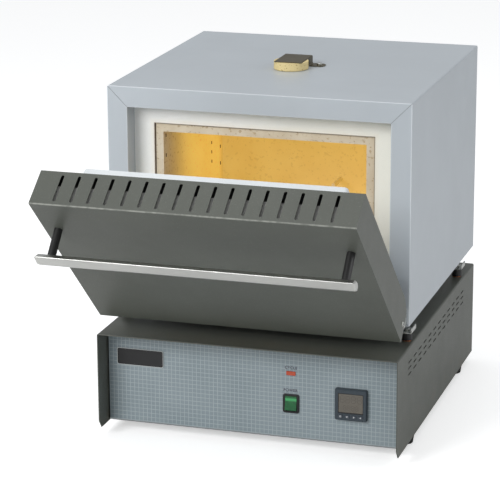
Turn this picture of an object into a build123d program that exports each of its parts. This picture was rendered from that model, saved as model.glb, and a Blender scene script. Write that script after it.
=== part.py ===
from build123d import *
from math import atan2, degrees, hypot, radians, sin, sqrt
import os

os.makedirs("parts", exist_ok=True)

# Bench-top muffle furnace. Millimetres, +Z up, the front of the furnace faces -Y.
# While the pieces are drawn, y = 0 is the front edge of the base and z = 0 the bench.

# Driving sizes read from the photograph
WIDTH = 455.0
BASE_DEPTH = 515.0
FOOT_HEIGHT = 13.0
BASE_HEIGHT = 148.5
AIR_GAP = 32.5
HOUSING_FRONT = 64.5
HOUSING_DEPTH = 442.0
HOUSING_HEIGHT = 327.0
FLANGE_WIDTH = 30.5
COLLAR_RECESS = 31.0
COLLAR_SIDE = 31.0
COLLAR_TOP = 28.5
MUFFLE_GAP = 1.0
HEATER_THICKNESS = 11.5
HEARTH_THICKNESS = 8.0
CHAMBER_CLEAR_HEIGHT = 165.0
BACK_INSULATION = 78.0
WIRING_SPACE = 38.5
DOOR_LENGTH = 349.0
DOOR_THICKNESS = 58.0
DOOR_TOP_DROP = 12.5
DOOR_OPEN_ANGLE = 47.5
DOOR_FACE_FORWARD = 60.5
DOOR_BELOW_HOUSING = 6.8
PANEL_RECESS = 38.9

# Sheet and clearances
SHEET = 1.5
THIN_SHEET = 1.2
BEND = 2.5
SLIDE_GAP = 0.4
PIN_GAP = 0.15

# Derived levels
HALF = WIDTH / 2
BASE_TOP = FOOT_HEIGHT + BASE_HEIGHT
FLOOR_TOP = FOOT_HEIGHT + 2 * SHEET
HOUSING_BOTTOM = BASE_TOP + AIR_GAP
HOUSING_TOP = HOUSING_BOTTOM + HOUSING_HEIGHT
HOUSING_REAR = HOUSING_FRONT + HOUSING_DEPTH
MOUTH_HALF = HALF - FLANGE_WIDTH
MOUTH_TOP = HOUSING_TOP - FLANGE_WIDTH
MOUTH_BOTTOM = HOUSING_BOTTOM + FLANGE_WIDTH
COLLAR_FACE = HOUSING_FRONT + COLLAR_RECESS
COLLAR_THICKNESS = 25.0
COLLAR_BACK = COLLAR_FACE + COLLAR_THICKNESS
PORT_HALF = MOUTH_HALF - COLLAR_SIDE
PORT_TOP = MOUTH_TOP - COLLAR_TOP
MUFFLE_HALF = PORT_HALF - MUFFLE_GAP
MUFFLE_TOP = PORT_TOP - MUFFLE_GAP
CHAMBER_HALF = MUFFLE_HALF - HEATER_THICKNESS
CHAMBER_TOP = MUFFLE_TOP - HEATER_THICKNESS
HEARTH_TOP = CHAMBER_TOP - CHAMBER_CLEAR_HEIGHT
CHAMBER_FLOOR = HEARTH_TOP - HEARTH_THICKNESS
MUFFLE_BOTTOM = CHAMBER_FLOOR - HEATER_THICKNESS
PORT_BOTTOM = MUFFLE_BOTTOM
MUFFLE_FRONT = COLLAR_FACE + 3.0
INSULATION_REAR = HOUSING_REAR - WIRING_SPACE
MUFFLE_REAR = INSULATION_REAR - BACK_INSULATION - HEATER_THICKNESS
LINING_HALF = HALF - THIN_SHEET - 0.3
PANEL_FACE = PANEL_RECESS
FILM = 0.4
WALL_FACE = PANEL_FACE + FILM
REAR_WALL = BASE_DEPTH - 10.0
FOOT_INSET = 13.5
STAND_INSET = 11.5
FRONT_FOOT_SETBACK = 110.0
REAR_FOOT_SETBACK = 75.0

# Door frame: t runs back from the front face, u runs up from the lower edge
DOOR_FACE_Y = HOUSING_FRONT - DOOR_FACE_FORWARD
DOOR_LOW_Z = HOUSING_BOTTOM - DOOR_BELOW_HOUSING
HINGE_T = 8.0
HINGE_U = 13.5
HINGE_Y = DOOR_FACE_Y + HINGE_T
HINGE_Z = DOOR_LOW_Z + HINGE_U
HINGE_PIN_RADIUS = 3.0
HINGE_EAR_RADIUS = 6.5
INNER_PANEL_LOW = 40.0
SLAB_OUT = COLLAR_FACE - DOOR_FACE_Y - 0.6


def block(x0, x1, y0, y1, z0, z1):
    size = Box(x1 - x0, y1 - y0, z1 - z0)
    return Pos((x0 + x1) / 2, (y0 + y1) / 2, (z0 + z1) / 2) * size


def post_z(x, y, z0, z1, radius):
    return Pos(x, y, (z0 + z1) / 2) * Cylinder(radius, z1 - z0)


def post_y(x, y0, y1, z, radius):
    return Pos(x, (y0 + y1) / 2, z) * Rot(90, 0, 0) * Cylinder(radius, y1 - y0)


def post_x(x0, x1, y, z, radius):
    return Pos((x0 + x1) / 2, y, z) * Rot(0, 90, 0) * Cylinder(radius, x1 - x0)


def along_y(face, y0, y1):
    """A face drawn in (x, z), made solid from y0 to y1."""
    return Pos(0, y1, 0) * extrude(Plane.XZ * face, y1 - y0)


def along_x(face, x0, x1):
    """A face drawn in (y, z), made solid from x0 to x1."""
    return Pos(x0, 0, 0) * extrude(Plane.YZ * face, x1 - x0)


def outline(*points):
    return make_face(Polyline(*points, close=True))


def folded(points, thickness, radius, side):
    """The section of a bent sheet whose outer face follows the points."""
    path = Wire(FilletPolyline(*points, radius=radius).edges())
    return make_face(offset(path, thickness, side=side).edges())


def both_sides(shape):
    return [shape, mirror(shape, about=Plane.YZ)]


def join(shapes):
    result = shapes[0]
    for shape in shapes[1:]:
        result = result + shape
    return result


def slot_cutter(length, width, depth):
    return extrude(SlotOverall(length, width), depth / 2, both=True)


def louvre_cutter(length, width, depth):
    """A stamped vent opening with clipped corners."""
    clip = width * 0.3
    return extrude(chamfer(Rectangle(length, width).vertices(), clip), depth / 2, both=True)


def pan_head(x, y, z, radius, height):
    """A low screw head whose flat side lies at z, with its upper rim broken."""
    head = Pos(x, y, z + height / 2) * Cylinder(radius, height)
    return chamfer(head.edges().sort_by(Axis.Z)[-1], height * 0.35)


# Base cover: an upside-down U with in-turned lower lips and side vents
STAND_X = HALF - STAND_INSET
STAND_FRONT_Y = HOUSING_FRONT + 36.5
STAND_REAR_Y = HOUSING_REAR - 67.5
STAND_PLACES = [(s * STAND_X, y) for y in (STAND_FRONT_Y, STAND_REAR_Y) for s in (-1, 1)]
LEAD_Y = HOUSING_REAR - 20.0
LEAD_PLACES = [(-60.0, LEAD_Y), (-20.0, LEAD_Y), (20.0, LEAD_Y), (60.0, LEAD_Y)]
LEAD_RADIUS = 4.0
LIP_WIDTH = 24.0
VENT_COLUMNS = 12
VENT_ROWS = (22.6, 31.7, 41.0)
VENT_FIRST_Y = 74.0
VENT_LAST_Y = BASE_DEPTH - 88.0
VENT_LENGTH = 18.0
VENT_HEIGHT = 2.4


def side_vents():
    cutters = []
    pitch = (VENT_LAST_Y - VENT_FIRST_Y) / (VENT_COLUMNS - 1)
    for row in VENT_ROWS:
        for column in range(VENT_COLUMNS):
            y = VENT_FIRST_Y + column * pitch
            z = BASE_TOP - row
            tool = Rot(0, 90, 0) * Rot(0, 0, 90) * louvre_cutter(VENT_LENGTH, VENT_HEIGHT, 8)
            cutters.append(Pos(HALF, y, z) * tool)
            cutters.append(Pos(-HALF, y, z) * tool)
    return cutters


def base_cover():
    section = folded(
        [(-HALF, FOOT_HEIGHT), (-HALF, BASE_TOP), (HALF, BASE_TOP), (HALF, FOOT_HEIGHT)],
        SHEET, BEND, Side.RIGHT,
    )
    cover = along_y(section, 0, BASE_DEPTH)
    inner = HALF - SHEET
    lip = block(inner - LIP_WIDTH, inner, 46.0, REAR_WALL - 8, FOOT_HEIGHT, FOOT_HEIGHT + SHEET)
    cover = join([cover] + both_sides(lip))
    corner = outline((-1, FOOT_HEIGHT - 1), (-1, FOOT_HEIGHT + 13), (0, FOOT_HEIGHT + 13),
                     (9.5, FOOT_HEIGHT), (9.5, FOOT_HEIGHT - 1))
    cover -= along_x(corner, -HALF - 1, HALF + 1)
    cover -= side_vents()
    cover -= [post_z(x, y, BASE_TOP - 5, BASE_TOP + 5, 2.2) for x, y in STAND_PLACES]
    cover -= [post_z(x, y, BASE_TOP - 5, BASE_TOP + 5, LEAD_RADIUS + 0.3) for x, y in LEAD_PLACES]
    cover -= [post_z(x, y, 0, FLOOR_TOP, 2.2) for x, y in FOOT_PLACES]
    return cover


# Chassis: front wall, floor and rear wall from one folded sheet
PANEL_HALF = HALF - SHEET - 1.6
CONTROL_X = HALF - 77.5
ROCKER_X = CONTROL_X - 91.1
ROCKER_Z = 69.2
ROCKER_WIDTH = 24.8
ROCKER_TALL = 29.0
LAMP_X = CONTROL_X - 91.4
LAMP_Z = 115.5
LAMP_WIDTH = 14.1
LAMP_TALL = 6.2
CONTROL_Z = 77.0
CONTROL_SIZE = 48.0
CONTROL_BODY = 44.8
INLET_X = HALF - 77.5
INLET_Z = 66.0
FUSE_X = (INLET_X - 66.0, INLET_X - 96.0)
FUSE_Z = 66.0
PLATE_X = -(HALF - 53.4)
PLATE_Z = 117.7
FOOT_X = HALF - FOOT_INSET
FOOT_PLACES = [(s * FOOT_X, y) for y in (FRONT_FOOT_SETBACK, BASE_DEPTH - REAR_FOOT_SETBACK)
               for s in (-1, 1)]


def panel_cutouts():
    y0 = PANEL_FACE - 2
    y1 = PANEL_FACE + 6
    hole_w = ROCKER_WIDTH / 2 - 2.0
    hole_h = ROCKER_TALL / 2 - 2.0
    lamp_w = LAMP_WIDTH / 2 - 0.8
    lamp_h = LAMP_TALL / 2 - 0.6
    body = CONTROL_BODY / 2 + 0.1
    return [
        block(ROCKER_X - hole_w, ROCKER_X + hole_w, y0, y1, ROCKER_Z - hole_h, ROCKER_Z + hole_h),
        block(LAMP_X - lamp_w, LAMP_X + lamp_w, y0, y1, LAMP_Z - lamp_h, LAMP_Z + lamp_h),
        block(CONTROL_X - body, CONTROL_X + body, y0, y1, CONTROL_Z - body, CONTROL_Z + body),
    ]


def base_chassis():
    under = BASE_TOP - SHEET
    low = FOOT_HEIGHT + SHEET
    section = folded(
        [(WALL_FACE + 16, under), (WALL_FACE, under), (WALL_FACE, low),
         (REAR_WALL, low), (REAR_WALL, under), (REAR_WALL - 12, under)],
        SHEET, BEND, Side.LEFT,
    )
    chassis = along_x(section, -PANEL_HALF, PANEL_HALF)
    chassis -= panel_cutouts()
    y0 = REAR_WALL - 6
    y1 = REAR_WALL + 2
    chassis -= block(INLET_X - 15.2, INLET_X + 15.2, y0, y1, INLET_Z - 12.2, INLET_Z + 12.2)
    chassis -= [post_y(x, y0, y1, FUSE_Z, 6.1) for x in FUSE_X]
    chassis -= [post_y(INLET_X + s * 20, y0, y1, INLET_Z, 1.7) for s in (-1, 1)]
    chassis -= [post_z(x, y, low - 2, FLOOR_TOP + 2, 2.2) for x, y in FOOT_PLACES]
    for column in range(9):
        tool = Rot(90, 0, 0) * Rot(0, 0, 90) * louvre_cutter(30, 3, 8)
        chassis -= Pos(-INLET_X + column * 15, REAR_WALL, INLET_Z + 10) * tool
    for row in range(3):
        for column in range(8):
            place = Pos(-105 + column * 30, 200 + row * 70, FLOOR_TOP)
            chassis -= place * louvre_cutter(20, 3, 8)
    return chassis


def panel_overlay():
    film = block(-PANEL_HALF + 0.3, PANEL_HALF - 0.3, PANEL_FACE, WALL_FACE,
                 FLOOR_TOP + 1.5, BASE_TOP - SHEET - BEND - 0.5)
    return film - panel_cutouts()


def plate_place():
    face = Pos(PLATE_X, PLATE_Z) * RectangleRounded(71.8, 25.4, 3.0)
    return along_y(face, PANEL_FACE - 1.0, PANEL_FACE)


# Feet and their fastenings
def rubber_feet():
    feet = []
    for x, y in FOOT_PLACES:
        foot = Pos(x, y, FOOT_HEIGHT / 2) * Cone(11.0, 13.0, FOOT_HEIGHT)
        foot = foot - post_z(x, y, -1, 5.0, 5.2) - post_z(x, y, 4.0, FOOT_HEIGHT + 1, 2.05)
        feet.append(chamfer(foot.edges().group_by(Axis.Z)[0].sort_by(SortBy.RADIUS)[-1], 0.8))
    return Compound(feet)


def foot_fasteners():
    pieces = []
    for x, y in FOOT_PLACES:
        head = post_z(x, y, 2.2, 5.0, 4.2)
        shank = post_z(x, y, 4.9, FLOOR_TOP + 5.0, 2.0)
        nut = Pos(x, y, FLOOR_TOP) * extrude(RegularPolygon(4.0, 6), 3.2)
        pieces.append(head + shank + nut)
    return Compound(pieces)


# Front panel controls
def rocker_bezel():
    rim = Pos(ROCKER_X, ROCKER_Z) * RectangleRounded(ROCKER_WIDTH, ROCKER_TALL, 3.2)
    bezel = along_y(rim, PANEL_FACE - 2.0, PANEL_FACE)
    bezel = fillet(bezel.faces().sort_by(Axis.Y)[0].edges(), 0.8)
    half_w = ROCKER_WIDTH / 2 - 2.2
    half_h = ROCKER_TALL / 2 - 2.2
    back = PANEL_FACE + 24.0
    bezel += block(ROCKER_X - half_w, ROCKER_X + half_w, PANEL_FACE - 0.5, back,
                   ROCKER_Z - half_h, ROCKER_Z + half_h)
    bezel -= block(ROCKER_X - ROCKER_HALF_W - 0.3, ROCKER_X + ROCKER_HALF_W + 0.3,
                   PANEL_FACE - 3, PANEL_FACE + 9.0,
                   ROCKER_Z - ROCKER_HALF_H - 1.1, ROCKER_Z + ROCKER_HALF_H + 1.1)
    bezel -= post_x(ROCKER_X - half_w - 1, ROCKER_X + half_w + 1,
                    ROCKER_PIVOT_Y, ROCKER_Z, ROCKER_PIN + PIN_GAP)
    for step in (-8.0, 0.0, 8.0):
        bezel += block(ROCKER_X - 2.4, ROCKER_X + 2.4, back - 0.5, back + 8.0,
                       ROCKER_Z + step - 0.4, ROCKER_Z + step + 0.4)
    return bezel


ROCKER_HALF_W = 8.6
ROCKER_HALF_H = 10.6
ROCKER_TILT = 8.0
ROCKER_PIN = 1.2
ROCKER_PIVOT_Y = PANEL_FACE + 3.0


def power_rocker():
    """The rocker with its upper half pressed in, so the lower half stands out."""
    rise = ROCKER_HALF_H * sin(radians(ROCKER_TILT))
    front = -2.2 - 3.0
    face = outline(
        (front - rise, -ROCKER_HALF_H), (front, 0), (front - rise, ROCKER_HALF_H),
        (0.5, ROCKER_HALF_H - 1.4), (2.5, 4), (3.5, 0), (2.5, -4), (0.5, -ROCKER_HALF_H + 1.4),
    )
    rocker = along_x(face, -ROCKER_HALF_W, ROCKER_HALF_W)
    ends = ROCKER_WIDTH / 2 - 2.4
    rocker += post_x(-ends, ends, 0, 0, ROCKER_PIN)
    rocker = Rot(-ROCKER_TILT, 0, 0) * rocker
    return Pos(ROCKER_X, ROCKER_PIVOT_Y, ROCKER_Z) * rocker


def cycle_lamp_lens():
    face = Pos(LAMP_X, LAMP_Z) * RectangleRounded(LAMP_WIDTH, LAMP_TALL, 0.8)
    lens = along_y(face, PANEL_FACE - 1.6, PANEL_FACE)
    lens = chamfer(lens.faces().sort_by(Axis.Y)[0].edges(), 0.5)
    half_w = LAMP_WIDTH / 2 - 1.0
    half_h = LAMP_TALL / 2 - 0.8
    return lens + block(LAMP_X - half_w, LAMP_X + half_w, PANEL_FACE - 0.2, PANEL_FACE + 4.0,
                        LAMP_Z - half_h, LAMP_Z + half_h)


def cycle_lamp_body():
    half_w = LAMP_WIDTH / 2 - 1.0
    half_h = LAMP_TALL / 2 - 0.8
    body = block(LAMP_X - half_w, LAMP_X + half_w, PANEL_FACE + 4.0, PANEL_FACE + 24.0,
                 LAMP_Z - half_h, LAMP_Z + half_h)
    for s in (-1, 1):
        body += block(LAMP_X + s * 3.2 - 1.4, LAMP_X + s * 3.2 + 1.4,
                      PANEL_FACE + 23.5, PANEL_FACE + 31.0, LAMP_Z - 0.4, LAMP_Z + 0.4)
    return body


# Temperature controller, a square panel instrument
BUTTON_SIZE = (6.4, 4.2)
BUTTON_TRAVEL = 0.8
BUTTON_Z = CONTROL_Z - 17.6
BUTTON_XS = [CONTROL_X + step for step in (-15.0, -5.0, 5.0, 15.0)]
BEZEL_PROUD = 6.0


def controller_bezel():
    face = Pos(CONTROL_X, CONTROL_Z) * RectangleRounded(CONTROL_SIZE, CONTROL_SIZE, 2.5)
    bezel = along_y(face, PANEL_FACE - BEZEL_PROUD, PANEL_FACE)
    bezel = chamfer(bezel.faces().sort_by(Axis.Y)[0].edges(), 1.2)
    front = PANEL_FACE - BEZEL_PROUD
    bezel -= block(CONTROL_X - 19, CONTROL_X + 19, front - 1, front + 1.4,
                   CONTROL_Z - 12.5, CONTROL_Z + 17.5)
    for x in BUTTON_XS:
        bezel -= block(x - BUTTON_SIZE[0] / 2 - 0.25, x + BUTTON_SIZE[0] / 2 + 0.25,
                       front - 1, front + 4.4,
                       BUTTON_Z - BUTTON_SIZE[1] / 2 - 0.25, BUTTON_Z + BUTTON_SIZE[1] / 2 + 0.25)
    return bezel


def controller_window():
    front = PANEL_FACE - BEZEL_PROUD
    pane = block(CONTROL_X - 19, CONTROL_X + 19, front + 0.6, front + 1.4,
                 CONTROL_Z - 12.5, CONTROL_Z + 17.5)
    return pane


def controller_body():
    half = CONTROL_BODY / 2
    body = block(CONTROL_X - half, CONTROL_X + half, PANEL_FACE, PANEL_FACE + 92.0,
                 CONTROL_Z - half, CONTROL_Z + half)
    for s in (-1, 1):
        body -= block(CONTROL_X + s * half - 1.0, CONTROL_X + s * half + 1.0,
                      PANEL_FACE + 12.0, PANEL_FACE + 80.0, CONTROL_Z - 4, CONTROL_Z + 4)
    rows = [block(CONTROL_X + dx - 4, CONTROL_X + dx + 4, PANEL_FACE + 91.5, PANEL_FACE + 97.0,
                  CONTROL_Z - 20, CONTROL_Z + 20) for dx in (-14.0, 0.0, 14.0)]
    y0 = WALL_FACE + SHEET
    clamp = block(CONTROL_X - half - 3, CONTROL_X + half + 3, y0, y0 + 9,
                  CONTROL_Z - half - 3, CONTROL_Z + half + 3)
    return join([body, clamp] + rows)


def controller_button(x):
    front = PANEL_FACE - BEZEL_PROUD
    face = Pos(x, BUTTON_Z) * RectangleRounded(BUTTON_SIZE[0], BUTTON_SIZE[1], 1.0)
    button = along_y(face, front - 0.9, front + 4.4 - BUTTON_TRAVEL - 0.2)
    return chamfer(button.faces().sort_by(Axis.Y)[0].edges(), 0.3)


# Rear wall of the base: appliance inlet and fuse holders
def power_inlet():
    face = Pos(INLET_X, INLET_Z) * RectangleRounded(52.0, 30.0, 5.0)
    body = along_y(face, REAR_WALL, REAR_WALL + 3.0)
    body += block(INLET_X - 15, INLET_X + 15, REAR_WALL - 24, REAR_WALL + 1,
                  INLET_Z - 12, INLET_Z + 12)
    body += block(INLET_X - 13, INLET_X + 13, REAR_WALL + 2, REAR_WALL + 7,
                  INLET_Z - 11.4, INLET_Z + 11.4)
    body -= block(INLET_X - 11.5, INLET_X + 11.5, REAR_WALL - 10, REAR_WALL + 9,
                  INLET_Z - 9.9, INLET_Z + 9.9)
    body -= [post_y(INLET_X + s * 20, REAR_WALL - 1, REAR_WALL + 4, INLET_Z, 1.7) for s in (-1, 1)]
    body -= [block(x - 1.1, x + 1.1, REAR_WALL - 25, REAR_WALL - 9, z - 3.1, z + 3.1)
             for x, z in INLET_PINS]
    return body


INLET_PINS = [(INLET_X - 6.5, INLET_Z - 2.0), (INLET_X + 6.5, INLET_Z - 2.0), (INLET_X, INLET_Z + 3.5)]


def inlet_pins():
    pins = [block(x - 1.0, x + 1.0, REAR_WALL - 32, REAR_WALL + 3.5, z - 3.0, z + 3.0)
            for x, z in INLET_PINS]
    return Compound(pins)


def inlet_screws():
    pieces = []
    for s in (-1, 1):
        head = Rot(-90, 0, 0) * pan_head(0, 0, 0, 2.9, 1.9)
        screw = head + post_y(0, -8, 0.1, 0, 1.5)
        pieces.append(Pos(INLET_X + s * 20, REAR_WALL + 3.0, INLET_Z) * screw)
    return pieces


def fuse_holders():
    pieces = []
    for x in FUSE_X:
        flange = post_y(x, REAR_WALL, REAR_WALL + 2.0, FUSE_Z, 8.5)
        cap = post_y(x, REAR_WALL + 1.9, REAR_WALL + 8.5, FUSE_Z, 6.2)
        cap -= block(x - 5, x + 5, REAR_WALL + 7.3, REAR_WALL + 9, FUSE_Z - 0.7, FUSE_Z + 0.7)
        body = post_y(x, REAR_WALL - 30, REAR_WALL + 0.1, FUSE_Z, 6.0)
        nut = Pos(x, REAR_WALL - SHEET, FUSE_Z) * Rot(90, 0, 0) * extrude(RegularPolygon(9, 6), 3)
        pieces.append(flange + cap + body + nut)
    return Compound(pieces)


# Power parts on the chassis floor
RELAY_X = -(HALF - 67.5)
RELAY_Y = 180.0


def relay_heatsink():
    x0 = RELAY_X
    y0 = RELAY_Y
    sink = block(x0, x0 + 90, y0, y0 + 120, FLOOR_TOP, FLOOR_TOP + 6)
    for fin in range(10):
        x = x0 + fin * (90 - 2.5) / 9
        if abs(x + 1.25 - (x0 + 45)) > 26:
            sink += block(x, x + 2.5, y0, y0 + 120, FLOOR_TOP + 5.9, FLOOR_TOP + 34)
    return sink


def solid_state_relay():
    x0 = RELAY_X + 22.5
    y0 = RELAY_Y + 30
    z0 = FLOOR_TOP + 6
    body = block(x0, x0 + 45, y0, y0 + 58, z0, z0 + 23)
    body = chamfer(body.edges().filter_by(Axis.Y).group_by(Axis.Z)[-1], 4)
    for dx in (9, 36):
        for dy in (8, 50):
            body += post_z(x0 + dx, y0 + dy, z0 + 18, z0 + 25, 3.4)
    return body


def terminal_block():
    x0 = 20.0
    y0 = 250.0
    rail = block(x0, x0 + 84, y0, y0 + 28, FLOOR_TOP, FLOOR_TOP + 10)
    for way in range(7):
        x = x0 + way * 12
        rail += block(x, x + 1.6, y0, y0 + 28, FLOOR_TOP + 9.9, FLOOR_TOP + 20)
    rail += block(x0 + 82.4, x0 + 84, y0, y0 + 28, FLOOR_TOP + 9.9, FLOOR_TOP + 20)
    for way in range(7):
        for dy in (7, 21):
            rail += post_z(x0 + way * 12 + 6.8, y0 + dy, FLOOR_TOP + 9.9, FLOOR_TOP + 13, 3.2)
    return rail


# Stand-offs that carry the hot housing clear of the base
WASHER_THICKNESS = 1.5
BUSHING_HEIGHT = 12.5
STRAP_SEAT = BASE_TOP + WASHER_THICKNESS + BUSHING_HEIGHT
STRAP_WIDTH = 26.0
STAND_BORE = 2.2


def stand_off_washers():
    rings = [post_z(x, y, BASE_TOP, BASE_TOP + WASHER_THICKNESS, 6.6)
             - post_z(x, y, BASE_TOP - 1, BASE_TOP + 3, STAND_BORE) for x, y in STAND_PLACES]
    return Compound(rings)


def stand_off_bushings():
    pieces = []
    for x, y in STAND_PLACES:
        low = BASE_TOP + WASHER_THICKNESS
        body = post_z(x, y, low, STRAP_SEAT, 8.0) - post_z(x, y, low - 1, STRAP_SEAT + 1, STAND_BORE)
        pieces.append(chamfer(body.edges().group_by(Axis.Z)[-1].sort_by(SortBy.RADIUS)[-1], 0.8))
    return Compound(pieces)


def mounting_strap(centre_y):
    tip = HALF - 1.2
    rise = HOUSING_BOTTOM - SHEET
    inward = STAND_X - 14.0
    points = [(-tip, STRAP_SEAT + 8.0), (-tip, STRAP_SEAT), (-inward, STRAP_SEAT),
              (-inward + 12, rise), (inward - 12, rise), (inward, STRAP_SEAT),
              (tip, STRAP_SEAT), (tip, STRAP_SEAT + 8.0)]
    section = folded(points, SHEET, 1.6, Side.LEFT)
    strap = along_y(section, centre_y - STRAP_WIDTH / 2, centre_y + STRAP_WIDTH / 2)
    for s in (-1, 1):
        strap -= post_z(s * STAND_X, centre_y, STRAP_SEAT - 2, STRAP_SEAT + 3, STAND_BORE)
        strap -= post_z(s * STRAP_SCREW_X, centre_y, rise - 2, rise + 3, 2.2)
    return strap


STRAP_SCREW_X = STAND_X - 66.0


def stand_off_screws():
    pieces = []
    for x, y in STAND_PLACES:
        screw = pan_head(x, y, STRAP_SEAT + SHEET, 4.2, 3.0)
        screw += post_z(x, y, BASE_TOP - SHEET - 6, STRAP_SEAT + SHEET + 0.1, 2.0)
        nut_low = BASE_TOP - SHEET - 3.2
        screw += Pos(x, y, nut_low) * extrude(RegularPolygon(4.2, 6), 3.2)
        pieces.append(screw)
    return pieces


def strap_screws():
    pieces = []
    for y in (STAND_FRONT_Y, STAND_REAR_Y):
        for s in (-1, 1):
            head = Rot(180, 0, 0) * pan_head(0, 0, 0, 4.0, 2.6)
            screw = head + post_z(0, 0, -0.1, SHEET + THIN_SHEET + 6, 2.0)
            pieces.append(Pos(s * STRAP_SCREW_X, y, HOUSING_BOTTOM - SHEET) * screw)
    return pieces


def lead_tubes():
    """Ceramic tubes that take the heater leads from the base into the housing."""
    pieces = []
    for x, y in LEAD_PLACES:
        tube = post_z(x, y, BASE_TOP - 10, HOUSING_BOTTOM + 14, LEAD_RADIUS)
        tube += post_z(x, y, BASE_TOP, BASE_TOP + 3, 6.5)
        tube -= post_z(x, y, BASE_TOP - 12, HOUSING_BOTTOM + 16, 1.8)
        pieces.append(tube)
    return Compound(pieces)


# Housing: a wrapped sheet with a wide front flange, and a floor with the lower flange
FLANGE_BEND = 3.0
MITRE_GAP = 0.35


def mouth_tunnel(grow, y0, y1):
    """A block the size of the flange opening, larger by grow all round."""
    return block(-MOUTH_HALF - grow, MOUTH_HALF + grow, y0, y1,
                 MOUTH_BOTTOM - grow, MOUTH_TOP + grow)


def flange_frame():
    """The whole front flange with its inward return, before it is parted."""
    plate = block(-HALF, HALF, HOUSING_FRONT, HOUSING_FRONT + THIN_SHEET,
                  HOUSING_BOTTOM, HOUSING_TOP)
    plate += mouth_tunnel(THIN_SHEET, HOUSING_FRONT, COLLAR_BACK)
    plate -= mouth_tunnel(0, HOUSING_FRONT - 1, COLLAR_BACK + 1)
    rim = plate.faces().sort_by(Axis.Y)[0].inner_wires()[0].edges()
    return fillet(rim, THIN_SHEET * 0.8)


def lower_trapezium(gap):
    """The region of the flange that belongs to the housing floor, mitred at 45 degrees."""
    shift = gap / sqrt(2)
    depth = FLANGE_WIDTH + 6
    face = outline((-HALF - 5 + shift, HOUSING_BOTTOM - 5 - shift),
                   (HALF + 5 - shift, HOUSING_BOTTOM - 5 - shift),
                   (HALF - depth - shift, HOUSING_BOTTOM + depth - shift),
                   (-HALF + depth + shift, HOUSING_BOTTOM + depth - shift))
    return along_y(face, HOUSING_FRONT - 2, COLLAR_BACK + 2)


def housing_wrap():
    section = folded(
        [(-HALF, HOUSING_BOTTOM), (-HALF, HOUSING_TOP), (HALF, HOUSING_TOP), (HALF, HOUSING_BOTTOM)],
        THIN_SHEET, BEND, Side.RIGHT,
    )
    shell = along_y(section, HOUSING_FRONT, HOUSING_REAR)
    frame = flange_frame() - lower_trapezium(-MITRE_GAP)
    outer = folded_block()
    wrap = shell + (frame & outer)
    for s in (-1, 1):
        seam = outline((s * (HALF - 0.2), HOUSING_TOP - 0.2),
                       (s * (HALF - 0.6), HOUSING_TOP - 0.2),
                       (s * (MOUTH_HALF - 0.4), MOUTH_TOP - 0.2),
                       (s * MOUTH_HALF, MOUTH_TOP - 0.2))
        wrap -= along_y(seam, HOUSING_FRONT - 1, HOUSING_FRONT + 0.5)
    wrap -= hinge_foot_holes()
    wrap -= post_z(VENT_X, VENT_Y, HOUSING_TOP - 4, HOUSING_TOP + 4, TUBE_RADIUS + 0.3)
    wrap -= post_z(VENT_SCREW_X, VENT_SCREW_Y, HOUSING_TOP - 4, HOUSING_TOP + 4, 1.7)
    return wrap


def folded_block():
    """The solid envelope of the housing with its rounded upper edges."""
    body = block(-HALF, HALF, HOUSING_FRONT, HOUSING_REAR, HOUSING_BOTTOM, HOUSING_TOP)
    return fillet(body.edges().filter_by(Axis.Y).group_by(Axis.Z)[-1], BEND)


def housing_floor():
    inner = HALF - THIN_SHEET
    floor = block(-inner, inner, HOUSING_FRONT, HOUSING_REAR, HOUSING_BOTTOM,
                  HOUSING_BOTTOM + THIN_SHEET)
    side = block(inner - THIN_SHEET, inner, HOUSING_FRONT + 8, HOUSING_REAR - 16,
                 HOUSING_BOTTOM, HOUSING_BOTTOM + 14)
    inside = block(-inner, inner, HOUSING_FRONT - 1, HOUSING_REAR, HOUSING_BOTTOM, HOUSING_TOP)
    flange = flange_frame() & lower_trapezium(0) & inside
    floor = join([floor, flange] + both_sides(side))
    floor -= [post_z(x, y, HOUSING_BOTTOM - 2, HOUSING_BOTTOM + 4, LEAD_RADIUS + 0.2)
              for x, y in LEAD_PLACES]
    floor -= [post_z(s * STRAP_SCREW_X, y, HOUSING_BOTTOM - 2, HOUSING_BOTTOM + 4, 2.2)
              for s in (-1, 1) for y in (STAND_FRONT_Y, STAND_REAR_Y)]
    floor -= hinge_foot_holes()
    return floor


def housing_back():
    inner = HALF - THIN_SHEET
    z0 = HOUSING_BOTTOM + THIN_SHEET
    z1 = HOUSING_TOP - THIN_SHEET
    y1 = HOUSING_REAR
    pan = block(-inner, inner, y1 - 14, y1, z0, z1)
    pan = fillet(pan.edges().filter_by(Axis.Y).group_by(Axis.Z)[-1], BEND - THIN_SHEET + 0.1)
    pan -= block(-inner + THIN_SHEET, inner - THIN_SHEET, y1 - 15, y1 - THIN_SHEET,
                 z0 + THIN_SHEET, z1 - THIN_SHEET)
    first = -(HALF - 62.5)
    pitch = -2 * first / 11
    pan = pan - [Pos(first + column * pitch, y1, z) * Rot(90, 0, 0) * louvre_cutter(22, 3, 8)
                 for column in range(12) for z in (z0 + 24, z0 + 34, z1 - 34, z1 - 24)]
    pan -= [block(x - 9, x + 9, y1 - 16, y1 - THIN_SHEET - 0.01, z0 - 1, z0 + THIN_SHEET + 0.01)
            for x, y in LEAD_PLACES]
    pan -= [post_y(x, y1 - 3, y1 + 1, z, 1.7) for x, z in BACK_SCREW_PLACES]
    return pan


BACK_SCREW_X = HALF - 37.5
BACK_SCREW_PLACES = [(x, z) for x in (-BACK_SCREW_X, 0.0, BACK_SCREW_X)
                     for z in (HOUSING_BOTTOM + 12, HOUSING_TOP - 12)]


def back_screws():
    pieces = []
    for x, z in BACK_SCREW_PLACES:
        screw = Rot(-90, 0, 0) * pan_head(0, 0, 0, 3.4, 2.0)
        screw += post_y(0, -7, 0.1, 0, 1.5)
        pieces.append(Pos(x, HOUSING_REAR, z) * screw)
    return pieces


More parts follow.
